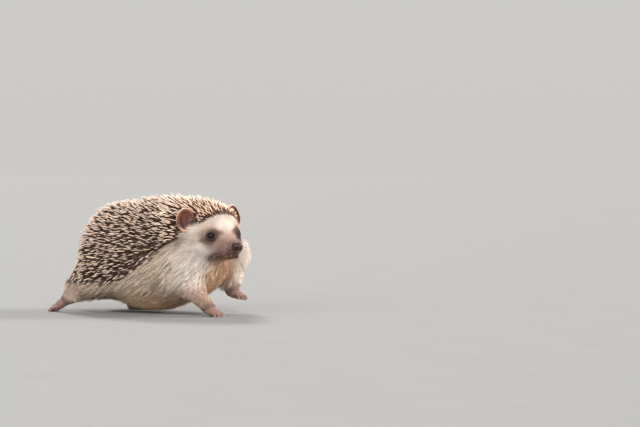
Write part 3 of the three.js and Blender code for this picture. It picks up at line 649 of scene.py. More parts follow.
def spine_zone(p):
    """How far inside the spiny area a place is, in millimetres; less than 0 outside it."""
    p = np.asarray(p, float)
    q = moved(INTO_HEAD, p)
    ahead = ahead_of_neck(p)
    behind = np.maximum(-ahead, EAR_LINE - q[:, 0])
    mantle = np.minimum(p[:, 2] - mantle_edge(p[:, 0]), behind)
    hairline = reach_of(q, HAIRLINE_AT, HAIRLINE_RADII)
    crown = np.where(ahead > -2, (1 - hairline) * 46, -99)
    return np.maximum(mantle, crown)


# --- markings, with painted light and shade


def linear(r, g, b):
    c = np.array([r, g, b]) / 255
    return np.where(c <= 0.04045, c / 12.92, ((c + 0.055) / 1.055) ** 2.4)


CREAM = linear(224, 203, 183)
WHITE = linear(247, 234, 224)
FLANK = linear(216, 194, 172)
BELLY = linear(214, 180, 142)
REAR_FLANK = linear(146, 126, 106)
HAUNCH = linear(240, 214, 198)
NECK = linear(140, 112, 98)
THROAT = linear(224, 184, 150)
TAUPE = linear(134, 104, 94)
DARK = linear(62, 42, 38)
BROWN = linear(104, 70, 52)
PAW = linear(140, 109, 100)
LEG = linear(206, 176, 162)
CHIN = linear(160, 108, 68)
RUST = linear(112, 62, 44)
# painted shade inside the ear's cup, partly darker hair at its bottom
EAR_SHADE = linear(80, 50, 48)
# painted rim light along the ear's rim
PAINTED_RIM_LIGHT = linear(232, 190, 168)
BROW = linear(222, 186, 166)
BRIDGE = linear(164, 132, 122)
# the skin under the spines, darkened as painted shade between them
MANTLE_SKIN_AND_SHADE = linear(74, 48, 38)


def painted(colour, *layers):
    """A colour with others laid over it in turn, each with its amount."""
    for target, amount in layers:
        colour = colour + (target - colour) * np.clip(amount, 0, 1)[:, None]
    return colour


def bump(q, at, radii):
    """1 at a place, falling to 0 at its radii."""
    return 1 - smooth(reach_of(q, at, radii), 0.35, 1)


def from_eyes(q):
    """Distance from the nearer eye, of places in the head frame, longer upward."""
    off = np.c_[q[:, 0], np.abs(q[:, 1]), q[:, 2]] - EYE_IN_HEAD
    off[:, 0] *= np.where(off[:, 0] > 0, 1.0, 0.94)
    off[:, 2] *= np.where(off[:, 2] > 0, 1.16, 0.94)
    return np.linalg.norm(off, axis=1)


def mouth_distance(p):
    total = np.full(len(p), 99.0)
    i = near(p, MOUTH, 8)
    if len(i):
        gaps = [taper(p[i], a, b, 0, 0) for a, b in zip(MOUTH, MOUTH[1:])]
        total[i] = np.min(gaps, axis=0)
    return total


EYE_IN_HEAD = np.abs(moved(INTO_HEAD, [EYES["left"]["centre"]])[0]) * np.array((-1, 1, -1))


def markings_and_painted_light(p):
    """The colour of skin and coat at a place: its markings, with some painted light and shade."""
    p = np.asarray(p, float)
    q = moved(INTO_HEAD, p)
    x, y, z = p.T
    hx, hy, hz = q.T
    below = mantle_edge(x) - z
    wide = np.abs(y)
    # Both sides have a white ruff; on the left side (y > 0) the white spreads farther and the
    # throat's tan is narrower, as painted light on that side's ruff.
    ruff = smooth(np.where(y > 0, 1.6 * y, wide), 15, 29)
    middle = smooth(np.where(y > 0, 1.5 * y, wide), 22, 12)
    low_rear = smooth(-x, -8, 26) * smooth(-x, 66, 54)
    trunk = painted(
        np.tile(FLANK, (len(p), 1)),
        (CREAM, smooth(below, 30, 4) * 0.9),
        (BELLY, smooth(z, 36, 12)),
        (WHITE, ruff * smooth(x, 34, 58) * smooth(z, 18, 34)),
        (THROAT, smooth(x, 48, 62) * middle * smooth(z, 72, 60)),
        (REAR_FLANK, low_rear * smooth(below, -2, 10) * 0.85),
        (HAUNCH, smooth(-x, 52, 64) * smooth(below, -2, 8) * 0.8),
    )
    sided = np.c_[hx, np.abs(hy), hz]  # marks are alike on both sides of the head
    eye, lips = from_eyes(q), mouth_distance(p)
    low = smooth(hz, 1 - 0.22 * hx, -4 - 0.22 * hx)
    ahead = np.maximum(smooth(hx, -3, 3), smooth(hz, -1, -5))
    face = painted(
        np.tile(WHITE, (len(p), 1)),
        (THROAT, smooth(hz, -15, -23) * smooth(np.abs(hy), 18, 9) * 0.9),
        (BROW, bump(sided, (-9, 11, 13), (15, 12, 12)) * 0.35),
        (BROW, bump(sided, (-14, 20, -2), (11, 10, 9)) * 0.35),
        (BROW, bump(sided, (-8, 0, 14), (15, 13, 9)) * 0.3),
        (BROW, smooth(eye, 13, 8.5) * mix(0.5, 0.75, smooth(hz, -4, 4))),
        (BRIDGE, smooth(hx, 1, 8) * 0.9),
        (TAUPE, smooth(hx, -2.5, 5) * low * 0.95),
        (TAUPE, smooth(eye, 10, 7) * ahead),
        (TAUPE, smooth(eye, 9, 6) * 0.7),
        (BROWN, bump(sided, (8, 8, 2.5), (8.5, 6, 4.6)) * 0.85),
        (DARK, smooth(eye, 7.4, 4.4) * 0.97),
        (DARK, bump(sided, (-5, 15, -3.5), (6.5, 7, 5.5)) * 0.6),
        (DARK, smooth(hx, 13.5, 18.5) * 0.5),
        (TAUPE, smooth(lips, 5.5, 2.5) * 0.6),
        (CHIN, smooth(hz, -17, -19) * smooth(hx, 1, 8) * 0.9),
        (BROWN, smooth(lips, 3, 1.5) * 0.6),
        (DARK, smooth(lips, 1.6, 0.7) * 0.7),
    )
    colour = painted(
        mix(trunk, face, head_share(p)[:, None]),
        (NECK, bump(sided, (-27, 28, -2), (14, 12, 9)) * 0.75),
        # the skin under the spines is painted dark, as shade between the spines
        (MANTLE_SKIN_AND_SHADE, smooth(spine_zone(p), -0.5, 3.5)),
    )
    for ear in EARS.values():
        e, shell = ear_shell(p, ear)
        radial = np.sqrt((e[:, 1] / EAR_RADII[1]) ** 2 + (e[:, 2] / EAR_RADII[2]) ** 2)
        inner = painted(
            np.tile(RUST, (len(p), 1)),
            # darker towards the cup's bottom, partly darker hair and partly painted shade, and
            # towards its middle, painted shade in the hollow
            (EAR_SHADE, smooth(e[:, 2], 1, -6)),
            (EAR_SHADE, smooth(radial, 0.45, 0.1) * 0.8),
            # lighter towards the rim: painted rim light
            (PAINTED_RIM_LIGHT, smooth(radial, 0.72, 0.97)),
        )
        inside = smooth(shell, 0.9, 0.1) * smooth(e[:, 0], -8, -5)
        colour = mix(colour, inner, inside[:, None])
    colour = painted(colour, (LEG, smooth(chained(p, LIMB_CHAINS["tail"], 2), 4, 2) * 0.9))
    for name in LEGS:
        chain = LIMB_CHAINS[name]
        tip, knee = chain[-1][1], chain[2][0]
        along = tip - knee
        share = (p - knee) @ along / (along @ along)
        on_leg = smooth(chained(p, chain[2:], 2), 8, 3) * smooth(share, 0, 0.5)
        on_foot = smooth(chained(p, FOOT_PIECES[name]["tapers"], 2), 3.5, 0.6)
        colour = painted(
            colour,
            (HAUNCH if name.startswith("hind") else LEG, on_leg * smooth(z, 40, 26) * 0.8),
            (PAW, np.maximum(on_foot, smooth(apart(p, tip), 9, 3))),
        )
    return np.clip(colour, 0, 1)


# --- materials


def principled(name, roughness, **sockets):
    material = bpy.data.materials.new(name)
    material.use_nodes = True
    tree = material.node_tree
    shader = tree.nodes["Principled BSDF"]
    shader.inputs["Roughness"].default_value = roughness
    for key, value in sockets.items():
        shader.inputs[key.replace("_", " ")].default_value = value
    return material, tree, shader


def node(tree, kind, **settings):
    """A node with sockets and properties set; a socket's spaces are written as underscores."""
    made_node = tree.nodes.new("ShaderNode" + kind)
    for key, value in settings.items():
        socket = key.replace("_", " ")
        if socket in made_node.inputs:
            made_node.inputs[socket].default_value = value
        else:
            setattr(made_node, key, value)
    return made_node


def wire(tree, *links):
    """Links, each as a node, its output, another node and its input."""
    for source, output, target, socket in links:
        tree.links.new(source.outputs[output], target.inputs[socket])


def attribute(tree, name, output="Color"):
    return node(tree, "Attribute", attribute_name=name), output


def texture(tree, kind, output="Fac", **settings):
    """The output of a texture in the object's own coordinates."""
    pattern = node(tree, "Tex" + kind, **settings)
    wire(tree, (node(tree, "TexCoord"), "Object", pattern, "Vector"))
    return pattern, output


def bumped(tree, source, target, **settings):
    """Bumps from an output, wired to the normals of a target."""
    bumps = node(tree, "Bump", **settings)
    wire(tree, (*source, bumps, "Height"), (bumps, "Normal", target, "Normal"))
    return bumps


def colour_ramp(tree, source, *stops):
    """The output of a ramp over another output."""
    ramp = node(tree, "ValToRGB")
    elements = ramp.color_ramp.elements
    while len(elements) < len(stops):
        elements.new(0.5)
    for element, (position, colour) in zip(elements, stops):
        element.position = position
        element.color = (*colour, 1)
    wire(tree, (*source, ramp, "Fac"))
    return ramp, "Color"


def coloured(tree, shader, a, b=None):
    """Makes the base colour an output, or the product of two."""
    if b:
        mixer = node(tree, "Mix", data_type="RGBA", blend_type="MULTIPLY", Factor=1)
        wire(tree, (*a, mixer, "A"), (*b, mixer, "B"))
        a = mixer, "Result"
    wire(tree, (*a, shader, "Base Color"))


def shaded(tree, source, low, high):
    """An output between 0 and 1 brought between a low and a high factor."""
    shade = node(tree, "MapRange", To_Min=low, To_Max=high)
    wire(tree, (*source, shade, "Value"))
    return shade, "Result"


def coat_material():
    material, tree, shader = principled("coat", 0.62, Specular_IOR_Level=0.25, Sheen_Weight=0.12)
    # Each strand is darker at its root and lighter at its tip: painted shade deep in the coat and
    # painted light on its tips.
    shade = shaded(tree, attribute(tree, "Along", "Fac"), 0.68, 1.15)
    coloured(tree, shader, attribute(tree, "Coat"), shade)
    return material


def skin_material():
    material, tree, shader = principled(
        "skin",
        0.6,
        Specular_IOR_Level=0.35,
        Subsurface_Weight=0.12,
        Subsurface_Radius=(0.003, 0.0012, 0.0008),
    )
    mottle = texture(tree, "Noise", Scale=420.0, Detail=4.0, Roughness=0.6)
    creases = texture(tree, "Voronoi", "Distance", Scale=1300.0, feature="DISTANCE_TO_EDGE")
    grain = texture(tree, "Noise", Scale=2600.0, Detail=3.0)
    fine = bumped(tree, grain, shader, Strength=0.35, Distance=0.0002)
    bumped(tree, creases, fine, Strength=0.5, Distance=0.0003)
    coloured(tree, shader, attribute(tree, "Coat"), shaded(tree, mottle, 0.74, 1.16))
    return material


SPINE_BANDS = (
    (0.0, linear(150, 120, 100)),
    (0.28, linear(168, 136, 114)),
    (0.37, linear(62, 38, 30)),
    (0.64, linear(54, 33, 27)),
    (0.7, linear(204, 172, 150)),
    (0.97, linear(246, 230, 216)),
)


def spine_material():
    material, tree, shader = principled("spine", 0.42, Specular_IOR_Level=0.4)
    wobble = node(tree, "Math", operation="MULTIPLY_ADD")
    wobble.inputs[1].default_value = 0.09
    speckle = texture(tree, "Noise", Scale=900.0, Detail=2.0)
    wire(tree, (*speckle, wobble, 0), (*attribute(tree, "Along", "Fac"), wobble, 2))
    bands = colour_ramp(tree, (wobble, "Value"), *SPINE_BANDS)
    coloured(tree, shader, bands, attribute(tree, "Tone"))
    return material


def eye_material():
    material, tree, shader = principled("eye", 0.05, Specular_IOR_Level=0.22)
    cloud = texture(tree, "Noise", Scale=260.0, Detail=2.0)
    stops = (0, (0.002, 0.002, 0.003)), (1, (0.014, 0.010, 0.010))
    coloured(tree, shader, colour_ramp(tree, cloud, *stops))
    return material


def nose_material():
    material, tree, shader = principled(
        "nose", 0.38, Specular_IOR_Level=0.32, Coat_Weight=0.08, Coat_Roughness=0.2
    )
    tone = texture(tree, "Noise", Scale=500.0, Detail=3.0)
    stops = (0, linear(32, 20, 19)), (1, linear(66, 43, 39))
    coloured(tree, shader, colour_ramp(tree, tone, *stops))
    pebbles = texture(tree, "Voronoi", "Distance", Scale=2100.0, feature="SMOOTH_F1")
    bumped(tree, pebbles, shader, Strength=0.3, Distance=0.0002, invert=True)
    return material


def claw_material():
    material, tree, shader = principled("claw", 0.35, Specular_IOR_Level=0.5)
    stops = (0, linear(150, 112, 104)), (1, linear(206, 178, 160))
    coloured(tree, shader, colour_ramp(tree, attribute(tree, "Along", "Fac"), *stops))
    grain = texture(tree, "Noise", Scale=1500.0, Detail=2.0)
    bumped(tree, grain, shader, Strength=0.2, Distance=0.0001)
    return material


MATERIALS = {
    "skin": skin_material(),
    "coat": coat_material(),
    "spine": spine_material(),
    "eye": eye_material(),
    "nose": nose_material(),
    "claw": claw_material(),
}

# --- the skin

SKIN_STEP = 0.6
ON_FLOOR = float(-SHIFT[2]) + ABOVE_FLOOR
SKIN_LOW, SKIN_HIGH = (-112, -58, -2), (112, 58, 108)
skin_points, skin_faces = meshed(skin_field, SKIN_LOW, SKIN_HIGH, SKIN_STEP)
skin_points[:, 2] = np.maximum(skin_points[:, 2], ON_FLOOR)
LIMB_NODES = [f"{a}_{b}" for a in ("fore_leg", "fore_paw", "hind_leg", "hind_foot") for b in SIDES]
FLESH_NODES = ["head", "ear_right", "ear_left", *LIMB_NODES, "tail"]
coat = {"Coat": markings_and_painted_light(skin_points)}
made("skin", skin_points, skin_faces, "skin", FLESH_NODES, coat)

# --- eyes and nose


def ball(radius, rings, segments):
    """The points and triangles of a sphere."""
    points = [(0, 0, 1)]
    for i in range(1, rings):
        a = math.pi * i / rings
        for j in range(segments):
            b = 2 * math.pi * j / segments
            points.append((math.sin(a) * math.cos(b), math.sin(a) * math.sin(b), math.cos(a)))
    points.append((0, 0, -1))
    last = 1 + (rings - 2) * segments
    faces = []
    for j in range(segments):
        k = (j + 1) % segments
        faces += [(0, 1 + j, 1 + k), (last + j, len(points) - 1, last + k)]
        for a in range(1, last, segments):
            b = a + segments
            faces += [(a + j, b + j, b + k), (a + j, b + k, a + k)]
    return np.array(points) * radius, np.array(faces)


CORNEA = 1.03  # the eyeball stands out this much at its front
for name, eye in EYES.items():
    points, faces = ball(EYE_RADIUS, 24, 32)
    swing = np.array(Vector((0, 0, 1)).rotation_difference(Vector(eye["out"])).to_matrix())
    points = points * (1, 1, CORNEA) @ swing.T + eye["centre"]
    made(f"eyeball_{name}", points, faces, "eye", [f"eye_{name}"])


def nose_field(p):
    q = moved(INTO_HEAD, p).astype(p.dtype)
    half = NOSE_SIZE / 2
    x, _, z = NOSE_AT
    total = lump(q, NOSE_AT, [half * 1.05, half, half * 0.94])
    for side in SIDES.values():
        total = blend(total, lump(q, (x + 1.8, side * 2.5, z - 0.6), (3, 2.5, 2.8)), 1.2)
    crease = taper(q, (x + 5.4, 0, z + 1.5), (x + 3.6, 0, z - 5), 0.35, 0.5)
    total = carve(total, crease, 0.8)
    for side in SIDES.values():
        hole = taper(q, (x + 1.2, side * 1.5, z - 0.5), (x + 5.6, side * 3.1, z - 0.9), 0.5, 1.15)
        slit = taper(q, (x + 3.6, side * 3.6, z - 0.8), (x + 0.4, side * 5.2, z - 1.6), 0.75, 0.25)
        total = carve(total, np.minimum(hole, slit), 0.5)
    return total


nose_middle = moved(HEAD, [NOSE_AT])[0]
nose_points, nose_faces = meshed(nose_field, nose_middle - 9, nose_middle + 9, 0.3)
made("nose_leather", nose_points, nose_faces, "nose", ["nose"])

# --- strands


def between(values, q, ease=False):
    """Values of a grid at places between its corners, in steps of the grid."""
    q = np.clip(q, 0, np.array(values.shape[:3]) - 1.001)
    i = q.astype(int)
    t = q - i
    if ease:
        t = t * t * (3 - 2 * t)
    total = 0
    for c in CORNERS:
        w = np.prod(np.where(c, t, 1 - t), 1).reshape((-1,) + (1,) * (values.ndim - 3))
        total = total + w * values[tuple((i + c).T)]
    return total


class Grid:
    """A field sampled on a grid, for quick distances and outward ways."""

    def __init__(self, f, low, high, step):
        self.low, self.step = np.array(low, float), step
        axes = [np.arange(a, b, step) for a, b in zip(low, high)]
        grid = np.stack(np.meshgrid(*axes, indexing="ij"), -1).reshape(-1, 3)
        self.values = chunked(f, grid.astype(np.float32)).reshape([len(a) for a in axes])

    def at(self, p):
        return between(self.values, (p - self.low) / self.step)

    def out(self, p, step=1.2):
        return gradient(self.at, p, step)


class Noise:
    """Smooth seeded variation of direction over the body."""

    def __init__(self, seed, step):
        self.step = step
        self.low = np.array((-130, -90, -20))
        counts = (np.array((130, 90, 140)) - self.low) // step + 2
        self.values = np.random.default_rng(seed).normal(size=(*counts.astype(int), 3))

    def at(self, p):
        return between(self.values, (p - self.low) / self.step, ease=True)


GRID = Grid(with_limbs, (-116, -64, -6), (116, 64, 124), 1.5)
WIDE_NOISE, FINE_NOISE = Noise(1, 14), Noise(2, 4)


def fur_heading(p, outward):
    """The lie of the torso's fur: back and down on the flank, down on chest and ruff."""
    x, y, z = p.T
    angle = 34 + 12 * smooth(x, 10, 52) + 30 * smooth(x, 54, 74)
    angle += 26 * smooth(-x, 46, 72) - 12 * smooth(z, 52, 72)
    angle = np.radians(angle)
    ruff = 0.5 * smooth(x, 40, 62) * smooth(np.abs(y), 10, 24)
    way = ways(-np.cos(angle), np.sign(y) * ruff, -np.sin(angle))
    belly = smooth(-outward[:, 2], 0.6, 0.9)[:, None]
    return unit(mix(unit(way), np.array([-1.0, 0, 0]), belly))


def face_heading(p):
    """Away from the nose, up over the brow and back along the cheeks."""
    q = moved(INTO_HEAD, p)
    way = unit(q - np.array([24, 0, -8]))
    way[:, 0] -= 0.35
    hx, hy, hz = q.T
    cheek = smooth(hx, -2, -16) * smooth(hz, 6, -4)
    side = np.sign(hy)
    way = mix(way, ways(-0.85, 0.3 * side, -0.42), cheek[:, None] * 0.85)
    throat = smooth(hz, -12, -18)
    return turned(HEAD, unit(mix(way, ways(-0.8, 0.25 * side, -0.6), throat[:, None] * 0.8)))


def leg_share(p):
    """How much each place belongs to a limb, the way down that limb and how far down it is."""
    most, share_at, way = np.zeros(len(p)), np.zeros(len(p)), np.zeros((len(p), 3))
    trunk = chunked(body, p)
    for chain in LIMB_CHAINS.values():
        i = near(p, joints(chain), 20)
        if not len(i):
            continue
        q = p[i]
        best, share, tangent = np.full(len(q), 1e9), np.zeros(len(q)), np.zeros((len(q), 3))
        for k, piece in enumerate(chain):
            d = taper(q, *piece)
            nearer = d < best
            best = np.where(nearer, d, best)
            tangent[nearer] = unit(piece[1] - piece[0])
            share[nearer] = (k + 0.5) / len(chain)
        amount = smooth(trunk[i] - best, 0, 5)
        larger = amount > most[i]
        most[i] = np.where(larger, amount, most[i])
        way[i] = np.where(larger[:, None], tangent, way[i])
        share_at[i] = np.where(larger, share, share_at[i])
    return most, way, share_at


def rooted(count, weight):
    """Random places on the skin with its outward ways, in proportion to area and a weight."""
    a, b, c, d = (skin_points[skin_faces[:, i]] for i in range(4))
    normal = np.cross(c - a, d - b)
    area = 0.5 * np.linalg.norm(normal, axis=1)
    middle = (a + b + c + d) / 4
    chance = area * weight(middle)
    picked = rng.choice(len(skin_faces), count, p=chance / chance.sum())
    u, v = rng.random(count)[:, None], rng.random(count)[:, None]
    spot = mix(mix(a[picked], b[picked], u), mix(d[picked], c[picked], u), v)
    return spot, unit(normal[picked])


def spaced(spots, gap):
    """Thins places until none is nearer to another than a gap."""
    kept, cells = [], {}
    keys = np.floor(spots / gap).astype(int)
    around = [(i, j, k) for i in (-1, 0, 1) for j in (-1, 0, 1) for k in (-1, 0, 1)]

    def close(key, spot):
        for i, j, k in around:
            for other in cells.get((key[0] + i, key[1] + j, key[2] + k), ()):
                d = spots[other] - spot
                if d[0] * d[0] + d[1] * d[1] + d[2] * d[2] < gap * gap:
                    return True
        return False

    for n, (key, spot) in enumerate(zip(map(tuple, keys), spots)):
        if not close(key, spot):
            kept.append(n)
            cells.setdefault(key, []).append(n)
    return np.array(kept)


def unwrap(p):
    """A place on the skin's own unwrap: trunk, head and each limb have their own area."""
    uv = np.empty((len(p), 2))
    turn = np.arctan2(p[:, 1], p[:, 2] - 52) / (2 * math.pi) + 0.5
    uv[:, 0] = 0.01 + 0.98 * turn
    uv[:, 1] = 0.01 + 0.55 * np.clip((p[:, 0] + 100) / 180, 0, 1)
    q = moved(INTO_HEAD, p)
    i = np.flatnonzero(ahead_of_neck(p) > 0)
    turn = np.arctan2(q[i, 1], q[i, 2] + 4) / (2 * math.pi) + 0.5
    uv[i, 0] = 0.01 + 0.58 * turn
    uv[i, 1] = 0.6 + 0.38 * np.clip((q[i, 0] + 45) / 70, 0, 1)
    amount, _, share = leg_share(p)
    for n, chain in enumerate(LIMB_CHAINS.values()):
        middles = np.array(joints(chain))
        away = np.linalg.norm(p[:, None] - middles[None], axis=2).min(1)
        i = np.flatnonzero((amount > 0.5) & (away < 16) & (ahead_of_neck(p) < 0))
        turn = np.arctan2(p[i, 1] - middles[-1][1], p[i, 2] - middles[:, 2].mean())
        uv[i, 0] = 0.61 + 0.075 * n + 0.07 * (turn / (2 * math.pi) + 0.5)
        uv[i, 1] = 0.6 + 0.38 * share[i]
    return uv


UV_PATCH = 0.003  # the side of each strand's square in the unwrap


def strands(paths, across, widths, sides, flatness, spread_uv, extra):
    """Tapered closed strands along paths. paths (n, k, 3); widths (n, k), whose last is a tip."""
    n, k, _ = paths.shape
    tangent = unit(np.gradient(paths, axis=1))
    side = across_to(across[:, None], tangent)
    rise = np.cross(tangent, side)
    angle = 2 * math.pi * np.arange(sides) / sides
    ring = (
        side[:, :, None] * np.cos(angle)[:, None]
        + rise[:, :, None] * (np.sin(angle) * flatness)[:, None]
    )
    rings = paths[:, : k - 1, None] + ring[:, : k - 1] * widths[:, : k - 1, None, None] / 2
    each = (k - 1) * sides + 1
    points = np.concatenate([rings.reshape(n, -1, 3), paths[:, k - 1 :]], 1)
    faces = []
    for a in range(0, (k - 2) * sides, sides):
        b = a + sides
        for s in range(sides):
            t = (s + 1) % sides
            faces += [(a + s, a + t, b + t), (a + s, b + t, b + s)]
    top = (k - 2) * sides
    faces += [(top + s, top + (s + 1) % sides, each - 1) for s in range(sides)]
    faces += [(0, s + 1, s) for s in range(1, sides - 1)]
    faces = np.array(faces)[None] + (np.arange(n) * each)[:, None, None]
    along = np.concatenate([np.repeat(np.linspace(0, 1, k)[: k - 1], sides), [1.0]])
    around = np.concatenate([np.tile(np.arange(sides) / sides, k - 1), [0.5]])
    uv = spread_uv[:, None] + UV_PATCH * (np.stack([around, along], 1)[None] - 0.5)
    shift = extra.pop("Shift", np.zeros(n))
    attributes = {"Along": np.tile(along, n) + np.repeat(shift, each)}
    for key, value in extra.items():
        attributes[key] = np.repeat(value, each, axis=0)
    return points.reshape(-1, 3), faces.reshape(-1, 3), attributes, uv.reshape(-1, 2)


MOST_TRIANGLES = 190000


def grown(name, paths, across, widths, shape, extra, material, slot, nodes=()):
    """Strands of a shape, its sides and flatness, as one or more pieces of allowed size."""
    sides, flatness = shape
    each = (paths.shape[1] - 2) * sides * 2 + sides + sides - 2
    pieces = max(1, math.ceil(len(paths) * each / MOST_TRIANGLES))
    order = np.argsort(paths[:, 0, 0], kind="stable")
    uv = unwrap(paths[:, 0])
    for n, i in enumerate(np.array_split(order, pieces)):
        own = {key: value[i] for key, value in extra.items()}
        points, faces, attributes, spots = strands(
            paths[i], across[i], widths[i], sides, flatness, uv[i], own
        )
        title = name if pieces == 1 else f"{name}_{n + 1}"
        made(title, points, faces, material, () if n else nodes, attributes, spots)


def bent(root, way, aside, length, bend, share):
    """Paths along a way, drawn aside more and more to the tip."""
    reach, drawn = length[:, None] * share, length[:, None] * bend[:, None] * share**2
    return root[:, None] + way[:, None] * reach[:, :, None] + aside[:, None] * drawn[:, :, None]


SINK = 0.8  # strands start this far under the skin
LOWEST = {"long": 0.35, "short": 0.2, "claw": 0.56}  # the lowest middle line of a strand


def lying_paths(roots, heading, length, rise, fall, steps):
    """Paths that leave the skin at a rise and bend down to follow it."""
    point = roots - GRID.out(roots) * SINK
    paths = [point]
    for s in range(steps):
        n = GRID.out(point)
        lie = across_to(heading, n)
        angle = mix(rise, fall, s / max(steps - 1, 1))[:, None]
        way = lie * np.cos(angle) + n * np.sin(angle)
        point = point + way * (length / steps)[:, None]
        point[:, 2] = np.maximum(point[:, 2], LOWEST["long"])
        paths.append(point)
    return np.stack(paths, 1)


def clumped(paths, gap, strength):
    """Draws strands towards the nearest of a few chosen ones, more and more to the tip."""
    chosen = spaced(paths[:, 0], gap)
    tree = KDTree(len(chosen))
    for n, i in enumerate(chosen):
        tree.insert(paths[i, 0], n)
    tree.balance()
    owner = np.array([chosen[tree.find(p)[1]] for p in paths[:, 0]])
    share = np.linspace(0, 1, paths.shape[1])[None, :, None] ** 1.5
    return mix(paths, paths[owner], share * strength[:, None, None]), owner


# --- spines

SPINE_TRIES, SPINE_GAP, CROWN_GAP = 110000, 2.15, 1.9
ROUND_5, FLAT_3 = (5, 1.0), (3, 0.6)  # shapes of strands: sides and flatness
spots, _ = rooted(SPINE_TRIES, lambda p: (spine_zone(p) > -1).astype(float))
zone, before_neck = spine_zone(spots), ahead_of_neck(spots) > -1
on_ear = GRID.at(spots) > 0.6  # the grid has no ears, so a place this far out is on one
crown_spots = spots[before_neck & (zone > 0.3) & ~on_ear]
mantle_spots = spots[~before_neck & (zone > 0.5) & ~on_ear]
crown_spots = crown_spots[spaced(crown_spots, CROWN_GAP)]
mantle_spots = mantle_spots[spaced(mantle_spots, SPINE_GAP)]
spine_spots = np.concatenate([crown_spots, mantle_spots])
on_crown = np.arange(len(spine_spots)) < len(crown_spots)
outward = GRID.out(spine_spots)
x, y, z = spine_spots.T
edge = smooth(z - mantle_edge(x), 14, 0) * ~on_crown
rear = smooth(-x, 40, 74)
low_rear = smooth(-x, 40, 60) * smooth(z, 62, 44)
fall = 0.1 + 0.9 * rear + 1.6 * low_rear + 0.5 * edge
back_way = ways(-1 + 0.75 * low_rear, 0, -fall)
hx, hy, _ = moved(INTO_HEAD, spine_spots).T
crown_way = unit(turned(HEAD, ways(-1, hy / 24, 0.1)))
way = unit(mix(back_way, crown_way, smooth(ahead_of_neck(spine_spots), -14, 4)[:, None]))
way += 0.17 * WIDE_NOISE.at(spine_spots) + rng.normal(0, 0.15, spine_spots.shape)
lie = across_to(way, outward)
near_brow = smooth(hx, -36, -8) * on_crown
lean = mix(51, 47, near_brow) + 22 * low_rear + 6 * edge
lean = np.radians(np.minimum(lean + rng.normal(0, 5, len(x)), 82))
length = mix(14.8, 9.6, near_brow) * rng.uniform(0.84, 1.1, len(x))
length *= 1 - 0.15 * edge - 0.16 * low_rear
aim = outward * np.cos(lean)[:, None] + lie * np.sin(lean)[:, None]
share = np.array([0, 0.3, 0.6, 0.84, 1.0])
bend = rng.uniform(0.02, 0.12, len(x))
root = spine_spots - outward * SINK


EAR_ROOM = (5, 0, 0), (10.5, 11, 12)  # an ellipsoid round each ear, in its own frame


def clear_of_ears(paths):
    clear = np.ones(len(paths), bool)
    for ear in EARS.values():
        for k in range(1, paths.shape[1]):
            clear &= reach_of(ear_shell(paths[:, k], ear)[0], *EAR_ROOM) > 1
    return clear


for _ in range(3):  # spines that would cross an ear are shorter, or left out
    clear = clear_of_ears(bent(root, aim, lie, length, bend, share))
    length = np.where(clear, length, length * 0.8)
paths = bent(root, aim, lie, length, bend, share)
clear = clear_of_ears(paths)
thick = rng.uniform(0.95, 1.2, len(x)) * mix(1, 0.85, near_brow)
widths = thick[:, None] * np.array([0.75, 1.0, 1.0, 0.74, 0])
tone = np.clip(rng.normal(0.93, 0.1, len(x)), 0.6, 1.1)[:, None] * np.array([1, 0.985, 0.97])
tone *= mix(1, 1.12, on_crown)[:, None]
tone = mix(tone, tone * np.array([1.1, 0.98, 0.88]), near_brow[:, None])
shift = rng.normal(0, 0.05, len(x)) + 0.09 * on_crown
across = np.cross(lie, outward)
for label, chosen, nodes in (
    ("spines_crown", clear & on_crown, ["crown"]),
    ("spines_back", clear & ~on_crown & (x > -20), ["back"]),
    ("spines_rump", clear & ~on_crown & (x <= -20), ["rump"]),
):
    extra = {"Tone": tone[chosen], "Shift": shift[chosen]}
    parts = paths[chosen], across[chosen], widths[chosen]
    grown(label, *parts, ROUND_5, extra, "spine", "spines", nodes)

# --- long and short fur


def at_ear(p):
    """Places inside an ear's cup, places on its furry outer face, and the way to the rim."""
    inside, outer = np.zeros(len(p), bool), np.zeros(len(p), bool)
    way = np.zeros((len(p), 3))
    for ear in EARS.values():
        _, shell = ear_shell(p, ear)
        by_it = apart(p, ear["place"][:3, 3]) < 14
        clear = GRID.at(p) > 1.2
        inside |= by_it & (shell < -0.3) & (shell > -2.6) & (clear | (shell < -0.8))
        here = by_it & clear & (shell >= -0.3) & (shell < 0.8)
        outer |= here
        way[here] = unit(p[here] - ear["root"])
    return inside, outer, way


def eye_distance(p):
    return np.min([apart(p, eye["centre"]) for eye in EYES.values()], axis=0)


def feet_distance(p):
    return np.min([chained(p, foot["tapers"], 2) for foot in FOOT_PIECES.values()], axis=0)


def before_ear(p):
    """1 on the head just before an ear, where long hairs cross its cup."""
    fronts = []
    for ear in EARS.values():
        place = ear_shell(p, ear)[0] * np.array((1, ear["side"], 1))
        fronts.append(bump(place, (-2, -8.5, -2), (10, 8, 13)))
    return np.max(fronts, axis=0)


def furry(p):
    """Where fur grows: not under the spines, nor on nose, eyes or soles."""
    bare = (spine_zone(p) > 4.5) & (before_ear(p) < 0.03)
    bare |= p[:, 2] < 0.3
    bare |= eye_distance(p) < LID_RADIUS + 0.25
    bare |= apart(moved(INTO_HEAD, p), NOSE_AT) < NOSE_SIZE / 2 + 0.1
    return ~bare


def short_share(p):
    """How far the fur is short: on the face's front, the lower legs, the feet and the ears."""
    hx, _, hz = moved(INTO_HEAD, p).T
    head = head_share(p)
    legs, _, share = leg_share(p)
    shares = (
        head * smooth(hx, -16, -6) * smooth(hz, -19, -13),
        head * smooth(hz, 3, 9) * smooth(hx, -34, -24),
        legs * smooth(share, 0.45, 0.7),
        smooth(feet_distance(p), 1.6, 0.6),
        at_ear(p)[1],
    )
    return np.max(shares, axis=0)


